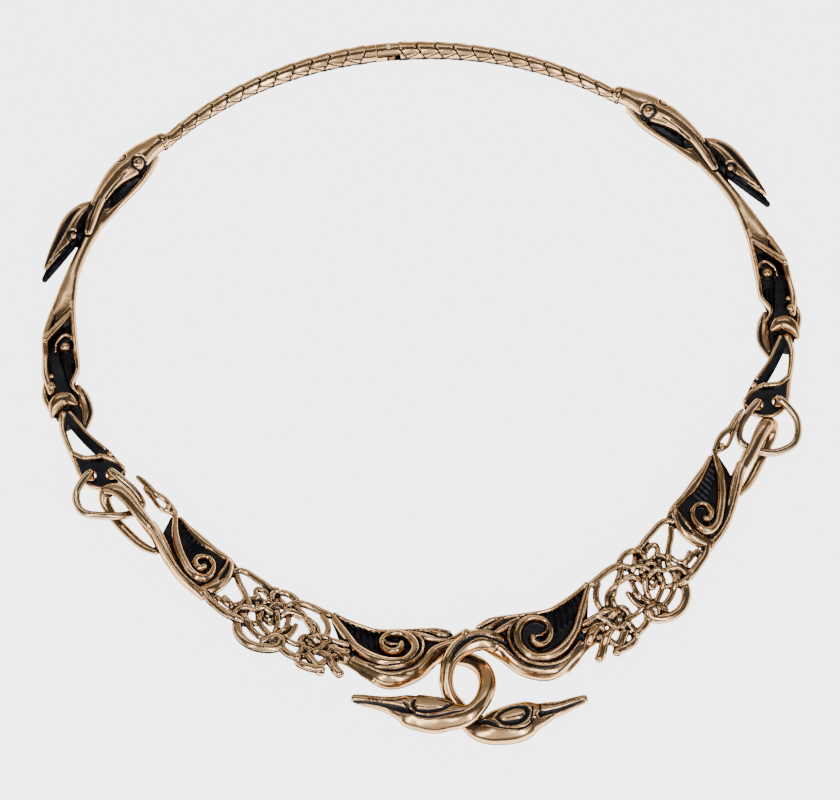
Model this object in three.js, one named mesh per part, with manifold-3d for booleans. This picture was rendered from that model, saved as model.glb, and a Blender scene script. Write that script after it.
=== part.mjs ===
import * as THREE from 'three';
import { mergeVertices } from 'three/addons/utils/BufferGeometryUtils.js';
import Module from 'manifold-3d';

// Bronze neck ring, lying flat. Millimetres, +Z up, the back hinge at +Y and the hooked clasp at -Y.
// It is described on its right half; the left half is the mirror image, apart from its front panel,
// which is rolled further inwards and whose clasp hook runs under and then over the right one.

// Plan of the rear arms: an ellipse, measured along its line from the middle of the back
const RING_HALF_WIDTH = 70;
const RING_HALF_DEPTH = 68;
const RING_CENTRE_Y = 7.8;
const ARC_PER_RADIAN = 69;

// Plan of the front panels: a gentle arc about a point behind the middle of the ring
const PANEL_RADIUS = 78.3;
const PANEL_CENTRE = [-10.3, 15.5];
const PANEL_MIDDLE_ANGLE = -51.3;
const RIGHT_PANEL = { faceTilt: 78, height: 4.15, inset: 0 };
const LEFT_PANEL = { faceTilt: 106, height: 4.8, inset: 1.2 };

// Back hinge
const ROD_RADIUS = 1.9;
const ROD_END_RADIUS = 1.25;
const ROD_HEIGHT = 1.95;
const ROD_LENGTH = 47;
const SCALE_ROWS = 8;
const PIN_X = 1.3;
const PIN_RADIUS = 0.55;
const TONGUE_THICKNESS = 1.2;
const KNUCKLE_START = -1;
const CLEARANCE = 0.3;

// Wire loops and the holed end plates
const WIRE_RADIUS = 0.6;
const HOLE_RADIUS = 1.1;
const OUTER_HOLE = [130.3, -1.0];
const INNER_HOLE = [131.9, -4.7];
const PLATE_BOTTOM = 2.2;
const PLATE_TOP = 3.3;
const THROAT_RAISED = -0.8;

const BRONZE = { color: 0xb98b5e, metalness: 1, roughness: 0.28 };
const DARK_BRONZE = { color: 0x8f6a45, metalness: 1, roughness: 0.35 };

const UP = new THREE.Vector3(0, 0, 1);
const ACROSS = new THREE.Vector3(0, 1, 0);

const wasm = await Module();
wasm.setup();

// Frames: each turns its own coordinates (along, across, height) into the right half's millimetres

const plan = { at: (x, y, z) => new THREE.Vector3(x, y, z), turnsOver: false };

const arm = {
  turnsOver: false,
  at(along, across, height) {
    const angle = along / ARC_PER_RADIAN;
    const outward = new THREE.Vector2(Math.sin(angle) / RING_HALF_WIDTH, Math.cos(angle) / RING_HALF_DEPTH);
    outward.normalize().multiplyScalar(across);
    return new THREE.Vector3(
      RING_HALF_WIDTH * Math.sin(angle) + outward.x,
      RING_CENTRE_Y + RING_HALF_DEPTH * Math.cos(angle) + outward.y,
      height,
    );
  },
};

function panelFrame({ faceTilt, height, inset }) {
  const tilt = THREE.MathUtils.degToRad(faceTilt);
  const middle = THREE.MathUtils.degToRad(PANEL_MIDDLE_ANGLE);
  return {
    turnsOver: true,
    at(along, across, raised) {
      const angle = middle + along / PANEL_RADIUS;
      const reach = PANEL_RADIUS - inset + across * Math.sin(tilt) + raised * Math.cos(tilt);
      return new THREE.Vector3(
        PANEL_CENTRE[0] + reach * Math.cos(angle),
        PANEL_CENTRE[1] + reach * Math.sin(angle),
        height - across * Math.cos(tilt) + raised * Math.sin(tilt),
      );
    },
  };
}

// Solids

function toSolid(geometry, turnsOver = false) {
  geometry.deleteAttribute('normal');
  geometry.deleteAttribute('uv');
  const merged = mergeVertices(geometry, 1e-5);
  const triVerts = new Uint32Array(merged.index.array);
  if (turnsOver) {
    for (let i = 0; i < triVerts.length; i += 3) {
      [triVerts[i], triVerts[i + 1]] = [triVerts[i + 1], triVerts[i]];
    }
  }
  const vertProperties = new Float32Array(merged.attributes.position.array);
  return new wasm.Manifold(new wasm.Mesh({ numProp: 3, vertProperties, triVerts }));
}

function moveVertices(geometry, rule) {
  const position = geometry.attributes.position;
  const point = new THREE.Vector3();
  for (let i = 0; i < position.count; i += 1) {
    const moved = rule(point.fromBufferAttribute(position, i));
    position.setXYZ(i, moved.x, moved.y, moved.z);
  }
  return geometry;
}

function join(solids) {
  return solids.reduce((whole, piece) => whole.add(piece));
}

// The section of a bar at t: its middle, its two half axes and their directions
function sectionOf(stations, closed, up) {
  const points = stations.map(([x, y, z]) => new THREE.Vector3(x, y, z));
  const path = new THREE.CatmullRomCurve3(points, closed, 'centripetal');
  const spans = closed ? stations.length : stations.length - 1;
  return (t) => {
    const place = Math.min(t * spans, spans - 1e-9);
    const before = stations[Math.floor(place)];
    const after = stations[(Math.floor(place) + 1) % stations.length];
    const share = THREE.MathUtils.smoothstep(place - Math.floor(place), 0, 1);
    const tangent = path.getTangent(t);
    const side = new THREE.Vector3().crossVectors(tangent, up).normalize();
    const top = new THREE.Vector3().crossVectors(side, tangent).normalize();
    side.multiplyScalar(THREE.MathUtils.lerp(before[3], after[3], share));
    top.multiplyScalar(THREE.MathUtils.lerp(before[4], after[4], share));
    return { middle: path.getPoint(t), side, top };
  };
}

// A bar of elliptical section through stations [along, across, height, half width, half thickness]
function bar(frame, stations, { sides = 5, stepsPerSpan = 1, up = UP } = {}) {
  const steps = stepsPerSpan * (stations.length - 1);
  const section = sectionOf(stations, false, up);
  const geometry = moveVertices(new THREE.CylinderGeometry(1, 1, 1, sides, steps), (point) => {
    const { middle, side, top } = section(THREE.MathUtils.clamp(point.y + 0.5, 0, 1));
    middle.addScaledVector(side, point.x).addScaledVector(top, point.z);
    return frame.at(middle.x, middle.y, middle.z);
  });
  return toSolid(geometry, frame.turnsOver);
}

// A closed loop of round wire through stations [x, y, z]
function wireLoop(stations, radius, steps = 28) {
  const reach = 10;
  const section = sectionOf(stations.map((at) => [...at, radius, radius]), true, UP);
  const geometry = moveVertices(new THREE.TorusGeometry(reach, 1, 6, steps), (point) => {
    const turn = Math.atan2(point.y, point.x) / (2 * Math.PI);
    const { middle, side, top } = section((turn + 1) % 1);
    const outwards = Math.hypot(point.x, point.y) - reach;
    return middle.addScaledVector(side, outwards).addScaledVector(top, point.z);
  });
  return toSolid(geometry);
}

// A flat slab cut to an outline of [along, across] corners, between two heights
function slab(frame, outline, bottom, top) {
  const shape = new THREE.Shape(outline.map(([x, y]) => new THREE.Vector2(x, y)));
  const geometry = new THREE.ExtrudeGeometry(shape, { depth: top - bottom, bevelEnabled: false });
  moveVertices(geometry, (point) => frame.at(point.x, point.y, bottom + point.z));
  return toSolid(geometry, frame.turnsOver);
}

function dome(frame, [x, y, z], [halfLength, halfWidth, halfHeight]) {
  const geometry = moveVertices(new THREE.SphereGeometry(1, 6, 3), (point) => (
    frame.at(x + point.x * halfLength, y + point.y * halfWidth, z + point.z * halfHeight)
  ));
  return toSolid(geometry, frame.turnsOver);
}

function ring(frame, [x, y, z], radius, thickness, lean = 0) {
  const geometry = moveVertices(new THREE.TorusGeometry(radius, thickness, 3, 7), (point) => (
    frame.at(x + point.x, y + point.y, z + point.z + point.y * lean)
  ));
  return toSolid(geometry, frame.turnsOver);
}

function uprightPeg(frame, [x, y], radius, bottom, top, sides = 10) {
  const geometry = moveVertices(new THREE.CylinderGeometry(radius, radius, 1, sides), (point) => (
    frame.at(x + point.x, y - point.z, THREE.MathUtils.lerp(bottom, top, point.y + 0.5))
  ));
  return toSolid(geometry, frame.turnsOver);
}

function eye(frame, [x, y, z], radius, lean = 0) {
  return [
    ring(frame, [x, y, z], radius, 0.3, lean),
    dome(frame, [x, y, z], [radius * 0.6, radius * 0.6, radius * 0.5]),
  ];
}

// Rear arm

// The rod's skin of overlapping scales: each row swells and drops back
function scaledRod(start) {
  const stations = [[start, 0, ROD_HEIGHT, ROD_RADIUS, ROD_RADIUS]];
  const rowLength = (ROD_LENGTH - start) / SCALE_ROWS;
  for (let row = 0; row < SCALE_ROWS; row += 1) {
    const radius = THREE.MathUtils.lerp(ROD_RADIUS, ROD_END_RADIUS, row / (SCALE_ROWS - 1));
    const from = start + row * rowLength;
    stations.push([from + rowLength * 0.12, 0, ROD_HEIGHT, radius * 0.92, radius * 0.92]);
    stations.push([from + rowLength, 0, ROD_HEIGHT, radius, radius]);
  }
  return bar(arm, stations, { sides: 6 });
}

function beastHead() {
  const skull = bar(arm, [
    [46, 0.2, 1.95, 1.3, 1.3],
    [51, 0.9, 2.3, 1.7, 1.7],
    [53.6, 1.0, 2.6, 2.4, 2.1],
    [57, 1.1, 2.8, 2.6, 2.2],
    [61, 1.5, 2.9, 2.1, 2.0],
    [65, 1.7, 3.0, 1.6, 1.5],
    [70, 1.0, 3.3, 1.2, 1.1],
    [74, 0.7, 3.5, 0.6, 0.6],
  ], { sides: 8 });
  const jaw = bar(arm, [
    [53, -0.8, 1.7, 0.8, 1.0],
    [58, -1.8, 1.6, 0.6, 0.9],
    [64, -1.3, 1.5, 0.6, 0.8],
    [71, -0.5, 1.5, 0.9, 0.9],
  ]);
  const mouthFloor = bar(arm, [[55, -0.8, 1.2, 1.2, 0.6], [70, 0.2, 1.2, 1.2, 0.6]]);
  return [
    skull,
    jaw,
    mouthFloor,
    ...eye(arm, [56.5, -0.5, 4.1], 1.3, 0.5),
    dome(arm, [57.6, 2.9, 3.7], [1.1, 0.8, 0.9]),
  ];
}

function leafCrest() {
  const blade = bar(arm, [
    [68.5, 2.2, 3.0, 0.7, 0.8],
    [73, 3.8, 3.6, 1.5, 0.9],
    [78.5, 4.1, 3.6, 1.4, 0.8],
    [85.2, 5.4, 3.0, 0.25, 0.3],
  ]);
  const outerRib = bar(arm, [
    [69.5, 3.4, 2.8, 0.5, 0.7],
    [74, 5.4, 3.2, 0.4, 0.8],
    [79.5, 5.8, 3.2, 0.35, 0.7],
    [85.4, 5.7, 2.9, 0.25, 0.3],
  ], { sides: 4 });
  const lowerBlade = bar(arm, [
    [70, 1.6, 1.7, 1.2, 0.9],
    [76, 3.0, 1.7, 1.7, 1.0],
    [82, 4.3, 1.5, 1.2, 0.7],
    [86.6, 5.3, 1.4, 0.5, 0.5],
  ]);
  return [blade, outerRib, lowerBlade, dome(arm, [76.7, 2.6, 4.2], [1.1, 1.1, 0.6])];
}

function strap() {
  const ribbon = bar(arm, [
    [66, 0.2, 1.7, 1.2, 1.0],
    [72, 0.1, 1.7, 1.4, 1.1],
    [78, 0.1, 1.7, 1.2, 1.1],
    [84, 0.2, 1.8, 1.4, 1.1],
    [90, 0.1, 2.0, 2.1, 1.2],
    [95, 0.2, 1.9, 2.7, 1.2],
  ], { sides: 8 });
  const hollowFloor = bar(arm, [
    [93, 0.0, 1.2, 2.3, 0.7],
    [100, -0.4, 1.1, 2.9, 0.7],
    [107, -0.5, 1.1, 2.7, 0.7],
    [114, -0.2, 1.3, 2.0, 0.9],
  ]);
  const browLip = bar(arm, [[92, -1.6, 2.6, 0.4, 0.6], [99.3, 2.6, 3.3, 0.5, 0.9]], { sides: 4 });
  const innerRim = bar(arm, [
    [90, -1.3, 2.2, 0.6, 0.7],
    [96, -2.5, 2.4, 0.7, 1.0],
    [102, -3.2, 2.6, 0.7, 1.1],
    [106, -3.5, 2.4, 0.5, 0.9],
    [108.6, -2.5, 2.4, 0.45, 0.9],
    [111, -3.2, 2.0, 0.4, 0.8],
  ], { sides: 4 });
  const outerRim = bar(arm, [
    [93, 1.9, 2.2, 0.7, 0.8],
    [99, 2.5, 2.7, 0.7, 1.2],
    [103, 2.3, 2.5, 0.7, 1.1],
    [107, 2.3, 2.6, 0.8, 1.1],
    [110.5, 1.6, 2.7, 0.7, 0.9],
  ], { sides: 4 });
  return [ribbon, hollowFloor, browLip, innerRim, outerRim];
}

function innerBeast() {
  const muzzle = bar(arm, [
    [98.5, -1.2, 1.6, 0.8, 0.7],
    [102.2, -1.5, 2.0, 1.7, 1.1],
    [108, -1.4, 1.7, 0.9, 0.8],
  ]);
  const shield = bar(arm, [
    [113.2, -2.3, 2.2, 0.8, 0.7],
    [112.6, -0.4, 3.0, 1.7, 1.1],
    [113.6, 1.3, 2.7, 1.4, 1.1],
    [115, 2.1, 2.0, 0.5, 0.7],
  ], { sides: 4 });
  const leaf = bar(arm, [
    [109.5, -3.5, 1.5, 0.6, 0.7],
    [113, -4.3, 1.7, 1.2, 1.0],
    [117, -4.0, 1.7, 1.1, 0.9],
    [120.3, -2.6, 1.6, 0.4, 0.5],
  ], { sides: 4 });
  const outerFlap = bar(arm, [
    [107.5, 2.6, 1.4, 0.5, 0.8],
    [110.8, 2.9, 1.4, 0.7, 0.9],
    [114, 2.2, 1.4, 0.4, 0.6],
  ], { sides: 4 });
  const throat = bar(arm, [[111, -0.2, 1.6, 2.0, 0.9], [118, -0.1, 2.0, 1.2, 1.0]]);
  return [muzzle, shield, leaf, outerFlap, throat, ...eye(arm, [102.2, -1.5, 3.1], 1.4)];
}

function fork() {
  const outerLeg = bar(arm, [
    [115.5, 0.1, 2.3, 1.0, 1.0],
    [119, 0.8, 2.7, 0.7, 0.8],
    [125, 0.5, 2.7, 0.6, 0.8],
    [131, 0.3, 2.7, 0.5, 0.7],
  ], { sides: 4 });
  const innerLeg = bar(arm, [
    [115.8, -0.5, 2.2, 0.9, 1.0],
    [120, -2.2, 2.4, 1.0, 0.7],
    [126, -4.9, 2.5, 1.3, 0.6],
    [130.5, -6.5, 2.6, 0.9, 0.7],
  ], { sides: 4 });
  const ridge = bar(arm, [
    [124.4, 0.4, 3.2, 0.6, 0.7],
    [126.6, -1.8, 3.4, 0.55, 0.6],
    [127.5, -4.2, 3.5, 0.8, 0.7],
    [131.6, -7.3, 3.0, 0.5, 0.7],
  ], { sides: 4 });
  const plate = slab(arm, [
    [125.5, 0.6], [131.6, 0.4], [134.3, -4.4], [132.2, -7.4], [129, -6.2], [127.2, -4.2], [126.3, -1.8],
  ], PLATE_BOTTOM, PLATE_TOP);
  const holes = [OUTER_HOLE, INNER_HOLE].map((hole) => uprightPeg(arm, hole, HOLE_RADIUS, 0, 6));
  return { pieces: [outerLeg, innerLeg, ridge, plate], holes };
}

function rearArm(rodStart) {
  const { pieces, holes } = fork();
  const whole = join([
    scaledRod(rodStart),
    ...beastHead(),
    ...leafCrest(),
    ...strap(),
    ...innerBeast(),
    ...pieces,
  ]);
  return holes.reduce((left, hole) => left.subtract(hole), whole);
}

// Back hinge: the right rod ends in a slotted knuckle, the left rod in a tongue, on one upright pin

const backY = RING_CENTRE_Y + RING_HALF_DEPTH;
const slotHalf = TONGUE_THICKNESS / 2 + CLEARANCE;

function blockAt(xMin, xMax, zMin, zMax) {
  const halfDepth = 2 * ROD_RADIUS;
  const geometry = moveVertices(new THREE.BoxGeometry(1, 1, 1), (point) => new THREE.Vector3(
    THREE.MathUtils.lerp(xMin, xMax, point.x + 0.5),
    backY + point.y * 2 * halfDepth,
    THREE.MathUtils.lerp(zMin, zMax, point.z + 0.5),
  ));
  return toSolid(geometry);
}

function rightRearArm() {
  const slotEnd = PIN_X + ROD_RADIUS + CLEARANCE;
  const slot = blockAt(KNUCKLE_START - 5, slotEnd, ROD_HEIGHT - slotHalf, ROD_HEIGHT + slotHalf);
  const pinHole = uprightPeg(plan, [PIN_X, backY], PIN_RADIUS + CLEARANCE, -5, 10);
  return rearArm(KNUCKLE_START).subtract(slot).subtract(pinHole);
}

function leftRearArm() {
  const bottom = ROD_HEIGHT - TONGUE_THICKNESS / 2;
  const top = ROD_HEIGHT + TONGUE_THICKNESS / 2;
  const pinX = -PIN_X;
  const eyeDisc = uprightPeg(plan, [pinX, backY], ROD_RADIUS - 0.1, bottom, top);
  const neck = blockAt(pinX, 3, bottom, top).intersect(bar(arm, [
    [-4, 0, ROD_HEIGHT, ROD_RADIUS - 0.1, ROD_RADIUS - 0.1],
    [5, 0, ROD_HEIGHT, ROD_RADIUS - 0.1, ROD_RADIUS - 0.1],
  ]));
  const pinHole = uprightPeg(plan, [pinX, backY], PIN_RADIUS + CLEARANCE, -5, 10);
  return rearArm(-KNUCKLE_START + CLEARANCE).add(eyeDisc).add(neck).subtract(pinHole);
}

// Front panel

// A rope that runs in along its lead and winds up into a scroll
function scrollRope(frame, lead, { centre, from, to, outside, inside, height, thickness }) {
  const turns = 8;
  const stations = lead.map(([x, y]) => [x, y, height, thickness, thickness * 1.3]);
  for (let i = 0; i <= turns; i += 1) {
    const share = i / turns;
    const angle = THREE.MathUtils.degToRad(THREE.MathUtils.lerp(from, to, share));
    const radius = THREE.MathUtils.lerp(outside, inside, share ** 1.3);
    const x = centre[0] + radius * Math.cos(angle);
    const y = centre[1] + radius * Math.sin(angle);
    stations.push([x, y, height, thickness * (1 - 0.25 * share), thickness * 1.2]);
  }
  return bar(frame, stations, { sides: 3 });
}

function innerScroll(frame) {
  const floor = slab(frame, [
    [-37, -5.9], [-35, -7], [-28, -6.6], [-20, -5.6], [-14.5, -6.2], [-17, -3.3], [-20.6, 0.7],
    [-24, 3.6], [-28, 4.4], [-32, 2.4], [-35, -1], [-37, -3.4],
  ], -1, 0.1);
  const belly = bar(frame, [
    [-37, -3.6, -0.1, 1.3, 1.4],
    [-35.2, -1.5, -0.2, 1.4, 1.7],
    [-32.2, 2.3, -0.3, 1.6, 2.0],
    [-28.3, 4.4, -0.3, 1.6, 2.1],
    [-24.4, 3.5, -0.1, 1.2, 1.7],
    [-20.7, 0.4, 0.2, 0.7, 1.2],
    [-17, -3.5, 0.3, 0.5, 1.0],
    [-13.4, -6.4, 0.2, 0.4, 0.7],
  ], { sides: 6 });
  const topRim = bar(frame, [
    [-37.6, -5.9, 0.1, 1.1, 1.3],
    [-35.4, -7.0, 0.4, 1.0, 1.3],
    [-30, -6.9, 0.5, 0.7, 1.1],
    [-22, -5.8, 0.4, 0.55, 1.0],
    [-13.4, -6.4, 0.2, 0.4, 0.7],
  ], { sides: 4 });
  const scroll = scrollRope(frame, [[-15.5, -5.6], [-19.5, -1.6]], {
    centre: [-28, -2.3], from: 40, to: 500, outside: 5.2, inside: 1.1, height: 0.6, thickness: 0.6,
  });
  return [floor, belly, topRim, scroll];
}

function outerScroll(frame) {
  const floor = slab(frame, [
    [8.6, -6.4], [16, -6.5], [24.2, -5.8], [26.6, -5.2], [24, -2.9], [24.3, -0.8], [26.5, 1],
    [18, 2.2], [9, 3.1], [9.5, -1.4],
  ], -0.9, 0.1);
  const innerRim = bar(frame, [
    [8.4, -6.3, 0.2, 0.5, 0.8],
    [16, -6.5, 0.4, 0.5, 0.9],
    [24.2, -5.7, 0.5, 0.45, 0.8],
    [28.3, -4.3, 0.7, 0.8, 0.9],
    [33.5, -3.6, 1.4, 0.8, 0.8],
    [36.8, -3.0, 1.9, 0.4, 0.4],
  ], { sides: 4 });
  const crossBand = bar(frame, [
    [8.2, -6.3, 0.1, 0.6, 0.9],
    [10.2, -3.2, 0.4, 1.0, 1.1],
    [9.4, 0.4, 0.4, 0.8, 1.1],
    [8.8, 3.2, 0.1, 0.6, 0.9],
  ], { sides: 4 });
  const outerRim = bar(frame, [
    [8.2, 3.0, 0, 0.6, 0.9],
    [13, 3.0, 0.1, 1.0, 1.3],
    [19, 2.1, 0.3, 1.1, 1.4],
    [25, 1.3, 0.7, 0.9, 1.2],
    [30, 0.8, 1.0, 0.85, 0.8],
  ]);
  const hook = bar(frame, [
    [28, 0.9, 1.0, 0.8, 0.85],
    [33.6, 1.1, 1.1, 0.8, 0.9],
    [36.4, 1.9, 0, 0.9, 0.9],
    [35, 2.5, -1.9, 0.8, 0.9],
    [30, 2.5, -2.5, 0.7, 0.8],
    [24.5, 2.6, -1.9, 0.6, 0.6],
    [21.4, 2.4, -0.9, 0.5, 0.6],
  ], { up: ACROSS, sides: 5, stepsPerSpan: 2 });
  const scroll = scrollRope(frame, [[25.8, -5.2], [22, -2.2]], {
    centre: [13.9, -0.8], from: 20, to: 490, outside: 4.2, inside: 0.9, height: 0.6, thickness: 0.6,
  });
  return [floor, innerRim, crossBand, outerRim, hook, scroll];
}

// Interlace: open strands that pass over and under each other and merge where they cross
function interlace(frame) {
  const paths = [
    [[-20.4, 0], [-16.9, -3.8], [-12.8, -6], [-8.4, -6.2], [-5, -4]],
    [[-7.4, -5], [-3.5, -7.1], [2.8, -6.7], [8.6, -6.2]],
    [[8.6, -5], [3, -2.2], [0.4, 1.6], [-2.2, 4.6], [-6.6, 4.4]],
    [[9.6, 0.4], [4.6, 1.4], [1, 3.4]],
    [[9.2, 3.6], [4.2, 4.8], [-0.4, 4.2], [-3, 6.9], [-8.2, 5.4], [-6.6, 3.4]],
    [[-5.4, -4.6], [-3.4, -1.8], [-5.4, 1], [-6.6, 4.4]],
    [[-8.4, 5.2], [-12.2, 6.1], [-17, 6.8]],
    [[-20.2, 6.6], [-18, 4.2], [-13.4, 1.6], [-6.4, -3.4], [-1.4, -3.6], [3.4, -2.4]],
    [[-17.2, 7], [-14.4, 4.6], [-10.4, 0], [-6.4, -1.6], [-2.4, -0.6], [1, 2.4]],
    [[-19.6, 1.4], [-15.6, 0], [-11.8, 2.6], [-8.6, 5.4]],
    [[-14.6, -4.8], [-15.4, -2], [-12.4, 2]],
    [[1.4, -6.6], [-1, -2.6], [-4.6, 2.4]],
  ];
  return paths.map((path) => {
    const stations = path.map(([x, y], i) => [x, y, i % 2 ? 0.25 : -0.2, 0.5, 0.6]);
    return bar(frame, stations, { sides: 3 });
  });
}

// Clasp hooks: each neck curls round and ends in a long-billed bird's head

function birdHook(frame, root, bend) {
  const neck = root.map(([x, y, z, halfWidth, halfThickness]) => {
    const at = frame.at(x, y, z);
    return [at.x, at.y, at.z, halfWidth, halfThickness];
  });
  return bar(plan, [...neck, ...bend], { sides: 6, stepsPerSpan: 2 });
}

function rightHook(frame) {
  const bend = [
    [0.8, -56.2, 6.1, 1.7, 1.6],
    [-2.9, -58.0, 6.2, 1.6, 1.6],
    [-4.9, -62.0, 5.3, 1.5, 1.6],
    [-4.0, -66.4, 3.3, 1.5, 1.6],
    [-1.4, -69.8, 1.9, 1.6, 1.5],
    [2.6, -71.8, 2.1, 2.6, 1.9],
    [7.2, -71.4, 2.4, 3.2, 2.3],
    [11.4, -70.4, 2.3, 2.4, 1.9],
    [14.6, -69.7, 2.3, 1.4, 1.2],
    [20.4, -68.4, 2.4, 0.6, 0.6],
  ];
  return [
    birdHook(frame, [[-32.6, -4.4, 0.1, 1.9, 1.6], [-36.4, -5.0, 0.5, 1.8, 1.6]], bend),
    dome(plan, [7.4, -70.9, 4.5], [2.2, 1.0, 0.6]),
  ];
}

function leftHook(frame) {
  const bend = [
    [3.4, -57.8, 2.0, 1.6, 1.4],
    [-0.6, -59.0, 2.0, 1.6, 1.4],
    [-3.0, -62.2, 3.2, 1.6, 1.5],
    [-3.0, -66.2, 4.9, 1.6, 1.6],
    [-0.8, -69.4, 5.8, 1.6, 1.6],
    [2.2, -70.6, 5.5, 2.0, 1.7],
    [7.0, -70.0, 4.7, 3.0, 2.2],
    [11.4, -68.6, 4.5, 2.3, 1.8],
    [14.8, -67.6, 4.5, 1.4, 1.2],
    [21.2, -65.6, 4.6, 0.6, 0.6],
  ];
  return [
    birdHook(frame, [[-31.5, -4.4, 0, 1.9, 1.6], [-34.6, -4.9, -0.7, 1.7, 1.5]], bend),
    dome(plan, [7.2, -69.6, 6.8], [2.2, 1.0, 0.6]),
  ];
}

function frontPanel(frame, hook) {
  return join([...innerScroll(frame), ...outerScroll(frame), ...interlace(frame), ...hook]);
}

// Wire loop: through both holes of the end plate, closed behind it, and round the panel's hook
function wireRing(frame) {
  const high = PLATE_TOP + WIRE_RADIUS + 0.9;
  const low = PLATE_BOTTOM - WIRE_RADIUS - 0.45;
  const [outer, inner] = [OUTER_HOLE, INNER_HOLE].map((hole) => (height) => arm.at(...hole, height));
  const outward = frame.at(32.4, 5.6, THROAT_RAISED);
  const seat = frame.at(30.9, 1.6, THROAT_RAISED);
  const inward = frame.at(31.4, -1.8, THROAT_RAISED);
  const corners = [
    outer(low),
    outer(PLATE_BOTTOM),
    outer(PLATE_TOP),
    outer(high),
    new THREE.Vector3(68.4, -17.4, (high + outward.z) / 2),
    new THREE.Vector3(67.6, -21.4, outward.z),
    outward,
    seat,
    inward,
    new THREE.Vector3(57.6, -17.6, (high + inward.z) / 2),
    inner(high),
    inner(PLATE_TOP),
    inner(PLATE_BOTTOM),
    inner(low),
  ];
  return wireLoop(corners.map((corner) => corner.toArray()), WIRE_RADIUS);
}

// Nodes

// The corners of the largest closed skin of a mesh; small pockets shut in by the strands are filled
function outerSkin(triVerts) {
  const group = [];
  const find = (i) => {
    while (group[i] !== i) i = group[i];
    return i;
  };
  triVerts.forEach((corner) => { group[corner] = corner; });
  for (let i = 0; i < triVerts.length; i += 3) {
    const first = find(triVerts[i]);
    group[find(triVerts[i + 1])] = first;
    group[find(triVerts[i + 2])] = find(first);
  }
  const skins = new Map();
  for (let i = 0; i < triVerts.length; i += 3) {
    const key = find(triVerts[i]);
    if (!skins.has(key)) skins.set(key, []);
    skins.get(key).push(triVerts[i], triVerts[i + 1], triVerts[i + 2]);
  }
  return [...skins.values()].sort((a, b) => b.length - a.length)[0];
}

function toMesh(name, solid, finish, mirrored) {
  const { vertProperties, triVerts } = solid.getMesh();
  const geometry = new THREE.BufferGeometry();
  const points = new Float32Array(vertProperties);
  const corners = new Uint32Array(outerSkin(triVerts));
  if (mirrored) {
    for (let i = 0; i < points.length; i += 3) points[i] = -points[i];
    for (let i = 0; i < corners.length; i += 3) [corners[i], corners[i + 1]] = [corners[i + 1], corners[i]];
  }
  geometry.setAttribute('position', new THREE.BufferAttribute(points, 3));
  geometry.setIndex(new THREE.BufferAttribute(corners, 1));
  geometry.computeVertexNormals();
  const mesh = new THREE.Mesh(geometry, new THREE.MeshStandardMaterial(finish));
  mesh.name = name;
  return mesh;
}

const rightFrame = panelFrame(RIGHT_PANEL);
const leftFrame = panelFrame(LEFT_PANEL);
const hingePin = uprightPeg(plan, [PIN_X, backY], PIN_RADIUS, 0.4, ROD_HEIGHT + ROD_RADIUS);

const neckRing = new THREE.Group();
neckRing.add(
  toMesh('right_rear_arm', rightRearArm(), BRONZE, false),
  toMesh('left_rear_arm', leftRearArm(), BRONZE, true),
  toMesh('hinge_pin', hingePin, DARK_BRONZE, false),
  toMesh('right_wire_loop', wireRing(rightFrame), DARK_BRONZE, false),
  toMesh('left_wire_loop', wireRing(leftFrame), DARK_BRONZE, true),
  toMesh('right_front_panel', frontPanel(rightFrame, rightHook(rightFrame)), BRONZE, false),
  toMesh('left_front_panel', frontPanel(leftFrame, leftHook(leftFrame)), BRONZE, true),
);

// The origin is the middle of the underside of the ring's box
const box = new THREE.Box3().setFromObject(neckRing);
const middle = box.getCenter(new THREE.Vector3());
neckRing.position.set(-middle.x, -middle.y, -box.min.z);

export default neckRing;
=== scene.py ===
# %% [markdown]
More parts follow.
